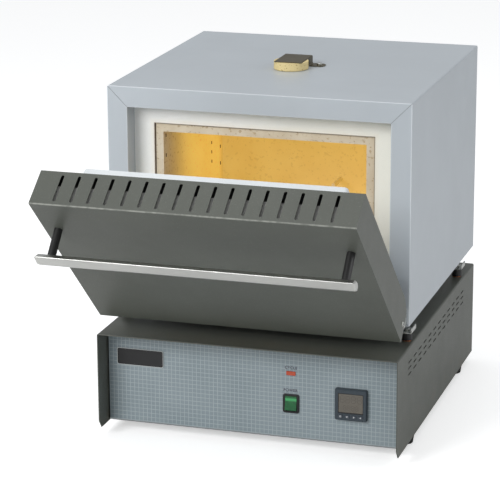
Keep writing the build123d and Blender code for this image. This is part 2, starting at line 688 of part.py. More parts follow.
# Insulation round the muffle
def collar():
    ring = mouth_tunnel(0, COLLAR_FACE, COLLAR_BACK)
    return ring - block(-PORT_HALF, PORT_HALF, COLLAR_FACE - 1, COLLAR_BACK + 1,
                        PORT_BOTTOM, PORT_TOP)


def insulation_floor():
    board = block(-LINING_HALF, LINING_HALF, COLLAR_BACK, INSULATION_REAR,
                  HOUSING_BOTTOM + THIN_SHEET, MUFFLE_BOTTOM)
    side = block(LINING_HALF - 1.2, LINING_HALF + 1, COLLAR_BACK - 1, INSULATION_REAR + 1,
                 HOUSING_BOTTOM, HOUSING_BOTTOM + 14.2)
    board -= [side, mirror(side, about=Plane.YZ)]
    board -= [post_z(s * STRAP_SCREW_X, STAND_REAR_Y, HOUSING_BOTTOM, HOUSING_BOTTOM + 9, 2.4)
              for s in (-1, 1)]
    return board


def insulation_side(sign):
    board = block(MUFFLE_HALF, LINING_HALF, COLLAR_BACK, INSULATION_REAR,
                  MUFFLE_BOTTOM, MUFFLE_TOP)
    return board if sign > 0 else mirror(board, about=Plane.YZ)


def insulation_top():
    board = block(-LINING_HALF, LINING_HALF, COLLAR_BACK, INSULATION_REAR,
                  MUFFLE_TOP, HOUSING_TOP - THIN_SHEET - 0.2)
    board = chamfer(board.edges().filter_by(Axis.Y).group_by(Axis.Z)[-1], BEND)
    board -= post_z(VENT_SCREW_X, VENT_SCREW_Y, HOUSING_TOP - 10, HOUSING_TOP, 2.0)
    return board - post_z(VENT_X, VENT_Y, MUFFLE_TOP - 1, HOUSING_TOP, TUBE_RADIUS + 0.1)


def insulation_back():
    board = block(-MUFFLE_HALF, MUFFLE_HALF, MUFFLE_REAR + HEATER_THICKNESS, INSULATION_REAR,
                  MUFFLE_BOTTOM, MUFFLE_TOP)
    return board - post_y(PROBE_X, MUFFLE_REAR - 1, INSULATION_REAR + 1, PROBE_Z, PROBE_RADIUS + 0.1)


# Muffle: heater plates, back plate and hearth
PROBE_X = 40.0
PROBE_Z = CHAMBER_FLOOR + 46.0
PROBE_RADIUS = 3.5
VENT_X = -4.0
VENT_Y = MUFFLE_REAR - 124.5
TUBE_RADIUS = 10.0


def heater_plate_side(sign):
    plate = block(CHAMBER_HALF, MUFFLE_HALF, MUFFLE_FRONT, MUFFLE_REAR, MUFFLE_BOTTOM, CHAMBER_TOP)
    return plate if sign > 0 else mirror(plate, about=Plane.YZ)


def heater_plate_top():
    plate = block(-MUFFLE_HALF, MUFFLE_HALF, MUFFLE_FRONT, MUFFLE_REAR, CHAMBER_TOP, MUFFLE_TOP)
    return plate - post_z(VENT_X, VENT_Y, CHAMBER_TOP - 1, MUFFLE_TOP + 1, TUBE_RADIUS + 0.1)


def heater_plate_floor():
    return block(-CHAMBER_HALF, CHAMBER_HALF, MUFFLE_FRONT, MUFFLE_REAR,
                 MUFFLE_BOTTOM, CHAMBER_FLOOR)


def muffle_back_plate():
    plate = block(-MUFFLE_HALF, MUFFLE_HALF, MUFFLE_REAR, MUFFLE_REAR + HEATER_THICKNESS,
                  MUFFLE_BOTTOM, MUFFLE_TOP)
    return plate - post_y(PROBE_X, MUFFLE_REAR - 1, MUFFLE_REAR + 20, PROBE_Z, PROBE_RADIUS + 0.1)


def hearth_plate():
    plate = block(-CHAMBER_HALF + 3, CHAMBER_HALF - 3, MUFFLE_FRONT + 4, MUFFLE_REAR - 3,
                  CHAMBER_FLOOR, HEARTH_TOP)
    return chamfer(plate.faces().sort_by(Axis.Z)[-1].edges(), 1.5)


def wall_pins():
    """Short staples that hold the heating wire in the side plates."""
    places = [(MUFFLE_FRONT + 10, 8), (MUFFLE_FRONT + 10, 38), (MUFFLE_REAR - 56, 68),
              (MUFFLE_REAR - 56, 83), (MUFFLE_REAR - 56, 98), (MUFFLE_REAR - 13, 84),
              (MUFFLE_REAR - 13, 111)]
    pins = []
    for y, drop in places:
        for s in (-1, 1):
            z = CHAMBER_TOP - drop
            x = s * CHAMBER_HALF
            pins.append(block(min(x, x - s * 0.8), max(x, x - s * 0.8), y - 0.7, y + 0.7,
                              z - 2.5, z + 2.5))
    return Compound(pins)


def thermocouple():
    sheath = post_y(PROBE_X, MUFFLE_REAR - 42, INSULATION_REAR + 4, PROBE_Z, PROBE_RADIUS)
    head = post_y(PROBE_X, INSULATION_REAR, INSULATION_REAR + 12, PROBE_Z, 9.0)
    tip = sheath.edges().sort_by(Axis.Y)[0]
    return fillet(tip, 2.5) + head


def heater_terminals():
    """The ceramic strip behind the insulation where the heater ends are clamped."""
    strip = block(-75, 75, INSULATION_REAR, INSULATION_REAR + 12, HOUSING_BOTTOM + 60,
                  HOUSING_BOTTOM + 82)
    for way in range(4):
        x = -54 + way * 36
        strip += post_y(x, INSULATION_REAR + 11.9, INSULATION_REAR + 20, HOUSING_BOTTOM + 71, 4.0)
    return strip


def exhaust_tube():
    tube = post_z(VENT_X, VENT_Y, CHAMBER_TOP, HOUSING_TOP, TUBE_RADIUS)
    return tube - post_z(VENT_X, VENT_Y, CHAMBER_TOP - 1, HOUSING_TOP + 1, 6.5)


# Vent cover on top: a ceramic plug under a bracket that swings about one screw
PLUG_RADIUS = 26.0
PLUG_HEIGHT = 12.0
VENT_SCREW_X = VENT_X + 35.0
VENT_SCREW_Y = VENT_Y + 33.0
BRACKET_SHEET = 1.2


def vent_plug():
    disc = post_z(VENT_X, VENT_Y, HOUSING_TOP + 0.15, HOUSING_TOP + 0.15 + PLUG_HEIGHT, PLUG_RADIUS)
    disc -= block(VENT_X + PLUG_RADIUS - 8.5, VENT_X + PLUG_RADIUS + 1, VENT_Y + 14, VENT_Y + 30,
                  HOUSING_TOP, HOUSING_TOP + 20)
    return chamfer(disc.edges().group_by(Axis.Z)[0], 1.0)


def vent_bracket():
    top = HOUSING_TOP + 0.15 + PLUG_HEIGHT
    right = VENT_X + 21.5
    section = folded([(VENT_X - 21.0, top + BRACKET_SHEET), (right, top + BRACKET_SHEET),
                      (right, HOUSING_TOP + 0.15 + BRACKET_SHEET),
                      (VENT_SCREW_X + 9, HOUSING_TOP + 0.15 + BRACKET_SHEET)],
                     BRACKET_SHEET, 1.9, Side.RIGHT)
    arm = along_y(section, VENT_Y - 19, VENT_SCREW_Y + 10)
    arm -= block(right - BRACKET_SHEET - 1.9, 60, VENT_Y - 30, VENT_SCREW_Y - 11,
                 HOUSING_TOP - 1, top)
    arm -= block(right - 0.01, 60, VENT_Y - 30, VENT_SCREW_Y - 11, HOUSING_TOP - 1, top + 5)
    corners = arm.edges().filter_by(Axis.Z).sort_by(Axis.X)[-2:]
    arm = fillet(corners, 8.0)
    return arm - post_z(VENT_SCREW_X, VENT_SCREW_Y, HOUSING_TOP - 1, HOUSING_TOP + 4, 1.65)


def vent_screw():
    top = HOUSING_TOP + 0.15 + BRACKET_SHEET + 0.1
    screw = pan_head(VENT_SCREW_X, VENT_SCREW_Y, top, 4.2, 2.6)
    screw += post_z(VENT_SCREW_X, VENT_SCREW_Y, HOUSING_TOP - 8, top + 0.1, 1.5)
    return screw - block(VENT_SCREW_X - 5, VENT_SCREW_X + 5, VENT_SCREW_Y - 0.5, VENT_SCREW_Y + 0.5,
                         top + 1.7, top + 4)


# Hinge brackets on the lower flange, with ears that carry the door pins
EAR_OUTER = HALF - 3.7
EAR_SHEET = 3.0
FOOT_PLATE_LOW = HOUSING_BOTTOM + 2.5
FOOT_PLATE_HIGH = MOUTH_BOTTOM - 3.0
FOOT_SCREW_PLACES = [(EAR_OUTER - 14.0, FOOT_PLATE_LOW + 6.5), (EAR_OUTER - 14.0, FOOT_PLATE_HIGH - 6.5)]


def hinge_foot_holes():
    return [post_y(s * x, HOUSING_FRONT - 2, HOUSING_FRONT + 3, z, 2.2)
            for s in (-1, 1) for x, z in FOOT_SCREW_PLACES]


def hinge_bracket(sign):
    inner = EAR_OUTER - EAR_SHEET
    ear = outline((HINGE_Y, HINGE_Z - HINGE_EAR_RADIUS), (HOUSING_FRONT, FOOT_PLATE_LOW),
                  (HOUSING_FRONT, FOOT_PLATE_HIGH), (HINGE_Y, HINGE_Z + HINGE_EAR_RADIUS))
    bracket = along_x(ear, inner, EAR_OUTER)
    bracket += post_x(inner, EAR_OUTER, HINGE_Y, HINGE_Z, HINGE_EAR_RADIUS)
    bracket += block(EAR_OUTER - 24, EAR_OUTER, HOUSING_FRONT - EAR_SHEET, HOUSING_FRONT,
                     FOOT_PLATE_LOW, FOOT_PLATE_HIGH)
    bracket -= post_x(inner - 1, EAR_OUTER + 1, HINGE_Y, HINGE_Z, HINGE_PIN_RADIUS + PIN_GAP)
    bracket -= [post_y(x, HOUSING_FRONT - 5, HOUSING_FRONT + 1, z, 2.2)
                for x, z in FOOT_SCREW_PLACES]
    return bracket if sign > 0 else mirror(bracket, about=Plane.YZ)


def hinge_bracket_screws():
    pieces = []
    for s in (-1, 1):
        for x, z in FOOT_SCREW_PLACES:
            screw = Rot(90, 0, 0) * pan_head(0, 0, 0, 3.8, 2.4)
            screw += post_y(0, -0.1, EAR_SHEET + 7, 0, 2.0)
            pieces.append(Pos(s * x, HOUSING_FRONT - EAR_SHEET, z) * screw)
    return Compound(pieces)


# Door, drawn shut in its own (t, u) frame
def door_section(points):
    return [(DOOR_FACE_Y + t, DOOR_LOW_Z + u) for t, u in points]


def top_line(t):
    """Height of the sloping top face at a distance t behind the front."""
    return DOOR_LENGTH - DOOR_TOP_DROP * t / DOOR_THICKNESS


TOP_SLOPE = degrees(atan2(DOOR_TOP_DROP, DOOR_THICKNESS))
SLOT_COUNT = 17
SLOT_PITCH = (WIDTH - 68.6) / (SLOT_COUNT - 1)
SLOT_WIDTH = 4.6
SLOT_FIRST_T = 7.0
SLOT_LAST_T = 52.0
CORNER_T = 15.0
CORNER_U = 39.0
FRONT_SCREW = (23.0, 12.7)


def door_slots():
    slope = hypot(DOOR_THICKNESS, DOOR_TOP_DROP)
    length = (SLOT_LAST_T - SLOT_FIRST_T) * slope / DOOR_THICKNESS
    middle = (SLOT_FIRST_T + SLOT_LAST_T) / 2
    cutters = []
    for number in range(SLOT_COUNT):
        x = (number - (SLOT_COUNT - 1) / 2) * SLOT_PITCH
        tool = Rot(0, 0, 90) * slot_cutter(length, SLOT_WIDTH, 12)
        place = Pos(x, DOOR_FACE_Y + middle, DOOR_LOW_Z + top_line(middle))
        cutters.append(place * Rot(-TOP_SLOPE, 0, 0) * tool)
    return cutters


def door_shell():
    back = DOOR_THICKNESS
    outer = make_face([
        Polyline(*door_section([(back - CORNER_T, 0), (0, 0), (0, DOOR_LENGTH),
                                (back, top_line(back)), (back, CORNER_U)])),
        ThreePointArc(*door_section([(back, CORNER_U), (back - 4.0, CORNER_U / 2 - 5.5),
                                     (back - CORNER_T, 0)])),
    ])
    body = along_x(outer, -HALF, HALF)
    crown = [edge for edge in body.edges().filter_by(Axis.X)
             if edge.center().Z > DOOR_LOW_Z + DOOR_LENGTH - 2]
    body = fillet(crown, 1.5)
    inside = outline(*door_section([(THIN_SHEET, -20), (THIN_SHEET, top_line(0) - THIN_SHEET - 0.3),
                                    (back + 20, top_line(back + 20) - THIN_SHEET),
                                    (back + 20, -20)]))
    body -= along_x(inside, -HALF + THIN_SHEET, HALF - THIN_SHEET)
    lip = outline(*door_section([(THIN_SHEET - 0.1, 0), (14, 0), (14, THIN_SHEET),
                                 (THIN_SHEET - 0.1, THIN_SHEET)]))
    body += along_x(lip, -HALF + 30, HALF - 30)
    body -= door_slots()
    body -= [post_y(s * POST_X, DOOR_FACE_Y - 1, DOOR_FACE_Y + 3, DOOR_LOW_Z + POST_U, 2.7)
             for s in (-1, 1)]
    t, u = FRONT_SCREW
    body -= post_x(-HALF - 1, HALF + 1, DOOR_FACE_Y + t, DOOR_LOW_Z + u, 2.2)
    return body


def door_inner_panel():
    inner = HALF - THIN_SHEET
    t1 = DOOR_THICKNESS - 1.2
    t0 = t1 - THIN_SHEET
    high = top_line(t0) - THIN_SHEET - 0.4
    plate = outline(*door_section([(t0, INNER_PANEL_LOW), (t0, high), (t1, high - 0.3),
                                   (t1, INNER_PANEL_LOW)]))
    foot = outline(*door_section([(t0 - 16, INNER_PANEL_LOW), (t0 + 0.1, INNER_PANEL_LOW),
                                  (t0 + 0.1, INNER_PANEL_LOW + THIN_SHEET),
                                  (t0 - 16, INNER_PANEL_LOW + THIN_SHEET)]))
    panel = along_x(plate, -inner, inner) + along_x(foot, -inner + 12, inner - 12)
    side = outline(*door_section([(t0 - 14, INNER_PANEL_LOW + 4), (t0 + 0.1, INNER_PANEL_LOW + 4),
                                  (t0 + 0.1, high - 10), (t0 - 14, high - 10)]))
    panel = join([panel] + both_sides(along_x(side, inner - THIN_SHEET, inner)))
    return panel


def door_lining():
    """Fibre blanket against the front sheet, with an air space behind it."""
    inner = HALF - THIN_SHEET - 0.3
    t1 = 36.0
    face = outline(*door_section([(THIN_SHEET, 46), (THIN_SHEET, top_line(THIN_SHEET) - 6),
                                  (t1, top_line(t1) - 6), (t1, 46)]))
    blanket = along_x(face, -inner, inner)
    blanket -= [post_y(s * POST_X, DOOR_FACE_Y, DOOR_FACE_Y + 8, DOOR_LOW_Z + POST_U, 6.0)
                for s in (-1, 1)]
    return blanket


SLAB_SIDE_GAP = 3.5
SLAB_HALF = MOUTH_HALF - SLAB_SIDE_GAP
SLAB_LOW = MOUTH_BOTTOM - DOOR_LOW_Z + 3.0
SLAB_HIGH = MOUTH_TOP - DOOR_LOW_Z - 10.0
SLAB_BEVEL = 6.0


def door_insulation():
    """White slab that enters the flange opening; its edges lean in so that it swings clear."""
    t0 = DOOR_THICKNESS - 1.2
    straight = 5.0
    wide = along_x(outline(*door_section([
        (t0, SLAB_LOW), (t0, SLAB_HIGH), (t0 + straight, SLAB_HIGH),
        (SLAB_OUT, SLAB_HIGH - SLAB_BEVEL), (SLAB_OUT, SLAB_LOW + SLAB_BEVEL),
        (t0 + straight, SLAB_LOW)])), -SLAB_HALF, SLAB_HALF)
    y0 = DOOR_FACE_Y + t0
    y2 = DOOR_FACE_Y + SLAB_OUT
    plan = make_face(Polyline((-SLAB_HALF, y0), (SLAB_HALF, y0), (SLAB_HALF, y0 + straight),
                              (SLAB_HALF - SLAB_BEVEL, y2), (-SLAB_HALF + SLAB_BEVEL, y2),
                              (-SLAB_HALF, y0 + straight), close=True))
    slab = wide & (Pos(0, 0, DOOR_LOW_Z) * extrude(plan, DOOR_LENGTH))
    edges = [edge for edge in slab.edges()
             if abs(abs(edge.center().X) - SLAB_HALF + SLAB_BEVEL / 2) < SLAB_BEVEL
             and edge.length < 60]
    try:
        return fillet(edges, 5.0)
    except Exception:
        return slab


SLAB_SCREW_PLACES = [(s * (SLAB_HALF - 43.5), u) for s in (-1, 1)
                     for u in (SLAB_LOW + 39.7, SLAB_HIGH - 48.3)]


# Hinge plates inside the door's side walls, with the pins that turn in the ears
def door_hinge_plate(sign):
    outer = HALF - THIN_SHEET
    x0 = outer - 2.0
    shape = outline(*door_section([(2.0, 4.0), (36.0, 4.0), (36.0, 26.0), (22.0, 34.0), (2.0, 34.0)]))
    plate = along_x(shape, x0, outer)
    pin = post_x(EAR_OUTER - EAR_SHEET - 2.0, outer, HINGE_Y, HINGE_Z, HINGE_PIN_RADIUS)
    t, u = FRONT_SCREW
    plate = plate + pin - post_x(x0 - 1, outer + 1, DOOR_FACE_Y + t, DOOR_LOW_Z + u, 2.2)
    return plate if sign > 0 else mirror(plate, about=Plane.YZ)


def door_side_screws():
    t, u = FRONT_SCREW
    pieces = []
    for s in (-1, 1):
        screw = Rot(0, 90, 0) * pan_head(0, 0, 0, 3.6, 1.5)
        screw += post_x(-THIN_SHEET - 1.9, 0.1, 0, 0, 2.0)
        screw = Pos(HALF, DOOR_FACE_Y + t, DOOR_LOW_Z + u) * screw
        pieces.append(screw if s > 0 else mirror(screw, about=Plane.YZ))
    return pieces


# Handle: two round posts and an angular bar
POST_X = HALF - 20.5
POST_U = 0.79 * DOOR_LENGTH
POST_RADIUS = 6.0
BAR_OVERHANG = 15.0
BAR_HALF = POST_X + BAR_OVERHANG
BAR_SECTION = [(-4.4, 46.0), (2.6, 42.5), (10.8, 43.8), (20.6, 53.2), (2.7, 55.7), (-4.5, 53.1)]


def handle_bar():
    points = [(DOOR_FACE_Y - out, DOOR_LOW_Z + POST_U + u) for u, out in BAR_SECTION]
    bar = along_x(outline(*points), -BAR_HALF, BAR_HALF)
    return fillet(bar.edges().filter_by(Axis.X), 0.9)


def handle_posts():
    bar = handle_bar()
    pieces = []
    for s in (-1, 1):
        post = post_y(s * POST_X, DOOR_FACE_Y - 48, DOOR_FACE_Y, DOOR_LOW_Z + POST_U, POST_RADIUS)
        post = post - bar
        post = post.solids().sort_by(SortBy.VOLUME)[-1]
        hole = post_y(s * POST_X, DOOR_FACE_Y - 16, DOOR_FACE_Y + 1, DOOR_LOW_Z + POST_U, 2.5)
        pieces.append(post - hole)
    return Compound(pieces)


def handle_screws():
    pieces = []
    for s in (-1, 1):
        screw = Rot(-90, 0, 0) * pan_head(0, 0, 0, 4.8, 3.0)
        screw += post_y(0, -16, 0.1, 0, 2.5)
        pieces.append(Pos(s * POST_X, DOOR_FACE_Y + THIN_SHEET, DOOR_LOW_Z + POST_U) * screw)
    return Compound(pieces)


def slab_screws():
    """Screws with broad washers that clamp the slab to the inner panel."""
    pieces = []
    t0 = DOOR_THICKNESS - 1.2 - THIN_SHEET
    for x, u in SLAB_SCREW_PLACES:
        screw = Rot(90, 0, 0) * pan_head(0, 0, 0, 5.5, 2.4)
        pieces.append(Pos(x, DOOR_FACE_Y + t0, DOOR_LOW_Z + u) * screw)
    return pieces


FIXED = {
    "base_cover": base_cover(),
    "base_chassis": base_chassis(),
    "panel_overlay": panel_overlay(),
    "blank_plate": plate_place(),
    "rubber_feet": rubber_feet(),
    "foot_fasteners": foot_fasteners(),
    "rocker_bezel": rocker_bezel(),
    "power_rocker": power_rocker(),
    "cycle_lamp_lens": cycle_lamp_lens(),
    "cycle_lamp_body": cycle_lamp_body(),
    "controller_bezel": controller_bezel(),
    "controller_window": controller_window(),
    "controller_body": controller_body(),
    "controller_button_1": controller_button(BUTTON_XS[0]),
    "controller_button_2": controller_button(BUTTON_XS[1]),
    "controller_button_3": controller_button(BUTTON_XS[2]),
    "controller_button_4": controller_button(BUTTON_XS[3]),
    "power_inlet": power_inlet(),
    "inlet_pins": inlet_pins(),
    "fuse_holders": fuse_holders(),
    "relay_heatsink": relay_heatsink(),
    "solid_state_relay": solid_state_relay(),
    "terminal_block": terminal_block(),
    "stand_off_washers": stand_off_washers(),
    "stand_off_bushings": stand_off_bushings(),
    "mounting_straps": Compound([mounting_strap(STAND_FRONT_Y),
                                          mounting_strap(STAND_REAR_Y)]),
    "stand_off_screws": Compound(stand_off_screws() + strap_screws()),
    "lead_tubes": lead_tubes(),
    "housing_wrap": housing_wrap(),
    "housing_floor": housing_floor(),
    "housing_back": housing_back(),
    "rear_screws": Compound(back_screws() + inlet_screws()),
    "collar": collar(),
    "insulation_floor": insulation_floor(),
    "insulation_sides": Compound([insulation_side(-1), insulation_side(1)]),
    "insulation_top": insulation_top(),
    "insulation_back": insulation_back(),
    "heater_plate_sides": Compound([heater_plate_side(-1), heater_plate_side(1)]),
    "heater_plate_top": heater_plate_top(),
    "heater_plate_floor": heater_plate_floor(),
    "muffle_back_plate": muffle_back_plate(),
    "hearth_plate": hearth_plate(),
    "wall_pins": wall_pins(),
    "thermocouple": thermocouple(),
    "heater_terminals": heater_terminals(),
    "exhaust_tube": exhaust_tube(),
    "vent_plug": vent_plug(),
    "vent_bracket": vent_bracket(),
    "vent_screw": vent_screw(),
    "hinge_brackets": Compound([hinge_bracket(-1), hinge_bracket(1)]),
    "hinge_bracket_screws": hinge_bracket_screws(),
}

DOOR = {
    "door_shell": door_shell(),
    "door_inner_panel": door_inner_panel(),
    "door_lining": door_lining(),
    "door_insulation": door_insulation(),
    "door_hinge_plates": Compound([door_hinge_plate(-1), door_hinge_plate(1)]),
    "door_screws": Compound(door_side_screws() + slab_screws()),
    "handle_bar": handle_bar(),
    "handle_posts": handle_posts(),
    "handle_screws": handle_screws(),
}


def swung_open(shape):
    """Turn a door piece about the hinge line, from shut to the angle in the photograph."""
    return Pos(0, HINGE_Y, HINGE_Z) * Rot(DOOR_OPEN_ANGLE, 0, 0) * Pos(0, -HINGE_Y, -HINGE_Z) * shape


PIECES = dict(FIXED)
for name, shape in DOOR.items():
    PIECES[name] = swung_open(shape)

# The origin is the middle of the bottom of the box round the whole furnace
boxes = [shape.bounding_box() for shape in PIECES.values()]
low_y = min(box.min.Y for box in boxes)
high_y = max(box.max.Y for box in boxes)
centre_y = (low_y + high_y) / 2
print("front", round(low_y, 4), "rear", round(high_y, 4), "middle", round(centre_y, 4))

for name, shape in PIECES.items():
    moved = Pos(0, -centre_y, 0) * shape
    solids = moved.solids()
    export_step(solids[0] if len(solids) == 1 else Compound(solids), "parts/" + name + ".step")
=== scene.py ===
from math import radians

import bmesh
import bpy
from mathutils import Matrix, Vector


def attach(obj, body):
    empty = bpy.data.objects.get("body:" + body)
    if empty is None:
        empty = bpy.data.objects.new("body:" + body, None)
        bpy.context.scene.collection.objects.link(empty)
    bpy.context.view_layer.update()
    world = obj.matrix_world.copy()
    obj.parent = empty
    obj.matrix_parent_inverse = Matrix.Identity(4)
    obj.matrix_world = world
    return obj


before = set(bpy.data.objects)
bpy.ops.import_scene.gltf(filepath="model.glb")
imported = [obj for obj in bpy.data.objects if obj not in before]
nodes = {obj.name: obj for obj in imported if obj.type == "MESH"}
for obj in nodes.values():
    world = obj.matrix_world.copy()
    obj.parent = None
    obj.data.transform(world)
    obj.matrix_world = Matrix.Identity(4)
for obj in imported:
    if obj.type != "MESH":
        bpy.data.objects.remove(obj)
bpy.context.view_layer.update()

# Millimetres from the base's front edge and the bench, as the part's source uses them
CENTRE_Y = 137.5609
HINGE_Y = 12.0
HINGE_Z = 200.7
DOOR_ANGLE = 47.5
DOOR_FACE_Y = 4.0
DOOR_LOW_Z = 187.2
PANEL_FACE = 38.9
HALF = 227.5
DOOR_LENGTH = 349.0
HANDLE_U = 0.79 * DOOR_LENGTH
HOUSING_REAR = 506.5
REAR_WALL = 505.0
BACK_SCREW_XS = (-190.0, 0.0, 190.0)
BACK_SCREW_ZS = (206.0, 509.0)
INLET_SCREW_XS = (130.0, 170.0)
INLET_Z = 66.0
DOOR_SCREW = (23.0, 12.7)
ROCKER = (58.9, 69.2)
LAMP = (58.6, 115.5)
CONTROL = (150.0, 77.0)
CONTROL_FRONT = PANEL_FACE - 6.0
PLATE = (-174.1, 117.7)
BUTTON_Z = 59.4
BUTTON_XS = (135.0, 145.0, 155.0, 165.0)

# Places that the materials read on their coordinates, in metres of the frame
FLANGE_Y = (64.5 - CENTRE_Y) / 1000
MOUTH_HALF = 0.197
MOUTH_TOP = 0.4905
MOUTH_BOTTOM = 0.2245
PORT_HALF = 0.166
PORT_TOP = 0.462
PORT_BOTTOM = 0.265
BACK_PLATE_Y = 0.2412


def place(x, y, z):
    """A point given in millimetres from the base's front edge, in metres of the frame."""
    return Vector((x / 1000, (y - CENTRE_Y) / 1000, z / 1000))


SWING = (Matrix.Translation(place(0, HINGE_Y, HINGE_Z)) @ Matrix.Rotation(radians(DOOR_ANGLE), 4, "X")
         @ Matrix.Translation(-place(0, HINGE_Y, HINGE_Z)))


def linear(red, green, blue):
    """A display colour, 0 to 255 in each channel, as linear light."""
    steps = [c / 255 for c in (red, green, blue)]
    return tuple(c / 12.92 if c <= 0.04045 else ((c + 0.055) / 1.055) ** 2.4 for c in steps) + (1.0,)


def shade(colour, amount):
    return tuple(min(1.0, c * amount) for c in colour[:3]) + (1.0,)


# Surface finishes
class Signal:
    """A value that varies over a surface. Arithmetic on it adds Math nodes."""

    def __init__(self, finish, socket):
        self.finish = finish
        self.socket = socket

    def maths(self, operation, other=None):
        inputs = {0: self} if other is None else {0: self, 1: other}
        return self.finish.add("ShaderNodeMath", {"operation": operation}, inputs)

    def __add__(self, other):
        return self.maths("ADD", other)

    def __mul__(self, other):
        return self.maths("MULTIPLY", other)

    def __sub__(self, other):
        return self.maths("SUBTRACT", other)

    def __rsub__(self, other):
        return self.finish.add("ShaderNodeMath", {"operation": "SUBTRACT"}, {0: other, 1: self})

    __radd__ = __add__
    __rmul__ = __mul__

    def size(self):
        return self.maths("ABSOLUTE")

    def larger(self, other):
        return self.maths("MAXIMUM", other)

    def ramp(self, low, high):
        """0 at low and 1 at high, smooth between them."""
        return self.finish.add("ShaderNodeMapRange", {"interpolation_type": "SMOOTHSTEP"},
                               {"Value": self, "From Min": low, "From Max": high})


class Finish:
    """One material: its shader, and the nodes that vary it over the surface."""

    def __init__(self, name, roughness=0.5, metallic=0.0, **fixed):
        self.material = bpy.data.materials.new(name)
        self.material.use_nodes = True
        self.tree = self.material.node_tree
        self.shader = self.tree.nodes["Principled BSDF"]
        self.shader.inputs["Roughness"].default_value = roughness
        self.shader.inputs["Metallic"].default_value = metallic
        for socket, value in fixed.items():
            self.shader.inputs[socket.replace("_", " ").title()].default_value = value
        self.coordinates = self.add("ShaderNodeTexCoord", {}, {}, "Object")

    def add(self, kind, settings, inputs, output=0):
        node = self.tree.nodes.new(kind)
        for key, value in settings.items():
            setattr(node, key, value)
        for key, value in inputs.items():
            if isinstance(value, Signal):
                self.tree.links.new(value.socket, node.inputs[key])
            else:
                node.inputs[key].default_value = value
        return Signal(self, node.outputs[output])

    def along(self, axis):
        """The coordinate along x, y or z, in metres of the frame."""
        return self.add("ShaderNodeSeparateXYZ", {}, {0: self.coordinates}, axis)

    def noise(self, scale, detail=3.0, stretch=(1, 1, 1), shift=(0, 0, 0)):
        where = self.add("ShaderNodeMapping", {}, {"Vector": self.coordinates, "Scale": stretch,
                                                   "Location": shift})
        return self.add("ShaderNodeTexNoise", {}, {"Vector": where, "Scale": scale, "Detail": detail})

    def mix(self, mask, first, second):
        return self.add("ShaderNodeMix", {"data_type": "RGBA"}, {0: mask, 6: first, 7: second}, 2)

    def feed(self, socket, signal):
        self.tree.links.new(signal.socket, self.shader.inputs[socket])
        return self

    def bump(self, height, depth):
        """Relief of the given depth in metres."""
        relief = {"Height": height, "Distance": depth, "Strength": 1.0}
        return self.feed("Normal", self.add("ShaderNodeBump", {}, relief))


def coated(name, colour, roughness, grain=1400, depth=0.00002, cloud=0.05, spread=0.08,
           speck=None, speck_amount=0.66, metallic=0.0, dirt=0.0, **fixed):
    """Paint, plastic or plain metal: cloudy colour, a fine grain and uneven gloss."""
    f = Finish(name, roughness, metallic, **fixed)
    clouds = f.noise(9.0, 4.0, shift=(3, 1, 2)).ramp(0.3, 0.7)
    fine = f.noise(grain, 2.0)
    tone = f.mix(clouds, shade(colour, 1 - cloud), shade(colour, 1 + cloud))
    tone = f.mix(fine.ramp(0.35, 0.75) * 0.35, tone, shade(colour, 1 - 3 * cloud))
    if speck:
        dots = f.noise(grain * 0.45, 2.0, shift=(5, 7, 1)).ramp(speck_amount, speck_amount + 0.06)
        tone = f.mix(dots, tone, speck)
    if dirt:
        low = 1 - f.along("Z").ramp(0.012, 0.075)
        smudge = f.noise(26.0, 5.0, stretch=(1, 1, 3)).ramp(0.45, 0.72)
        tone = f.mix(low * smudge * dirt, tone, linear(104, 94, 80))
    f.feed("Base Color", tone)
    f.feed("Roughness", f.noise(34.0, 4.0, shift=(1, 9, 4)) * (2 * spread) + (roughness - spread)
           + fine * 0.04)
    return f.bump(fine, depth)


def housing_paint():
    """Light blue-grey powder coat: fine orange peel, painted highlights along the bends of the front
    and hairline mitre seams.
    """
    f = Finish("housing paint", 0.42, coat_weight=0.3, coat_roughness=0.25)
    paint = linear(184, 191, 197)
    peel = f.noise(900.0, 2.0)
    clouds = f.noise(7.0, 4.0, shift=(3, 1, 2)).ramp(0.3, 0.7)
    tone = f.mix(clouds, shade(paint, 0.97), shade(paint, 1.02))
    x = f.along("X").size()
    z = f.along("Z")
    front = 1 - (f.along("Y") - FLANGE_Y).ramp(0.0006, 0.0012)
    outer = x.ramp(0.2262, 0.2268).larger(z.ramp(0.5197, 0.5203))
    near_mouth = (x - MOUTH_HALF).larger(z - MOUTH_TOP)
    inner = 1 - near_mouth.ramp(0.0006, 0.0013)
    # Painted highlight: light lines along the outer bend of the front and along the bend round the
    # mouth.
    tone = f.mix(front * outer * 0.75, tone, linear(228, 233, 238))
    tone = f.mix(front * inner * 0.6, tone, linear(226, 231, 236))
    upper = ((x - MOUTH_HALF) - (z - MOUTH_TOP)).size()
    lower = ((x - MOUTH_HALF) - (MOUTH_BOTTOM - z)).size()
    seam = 1 - upper.maths("MINIMUM", lower).ramp(0.0003, 0.0006)
    corner = near_mouth.ramp(0.0, 0.0004).larger((MOUTH_BOTTOM - z).ramp(0.0, 0.0004))
    tone = f.mix(front * seam * corner * 0.7, tone, linear(96, 102, 108))
    f.feed("Base Color", tone)
    f.feed("Roughness", f.noise(34.0, 4.0, shift=(1, 9, 4)) * 0.1 + 0.36 + peel * 0.04)
    return f.bump(peel, 0.00003).material


DARK_PAINT = linear(84, 87, 80)


def dark_paint():
    """Dark textured paint of the base, a little soiled along its lower edge."""
    f = coated("dark paint", DARK_PAINT, 0.46, grain=1500, depth=0.00005, cloud=0.05,
               spread=0.06, speck=linear(112, 114, 108), speck_amount=0.64, dirt=0.35,
               coat_weight=0.15, coat_roughness=0.35)
    return f.material


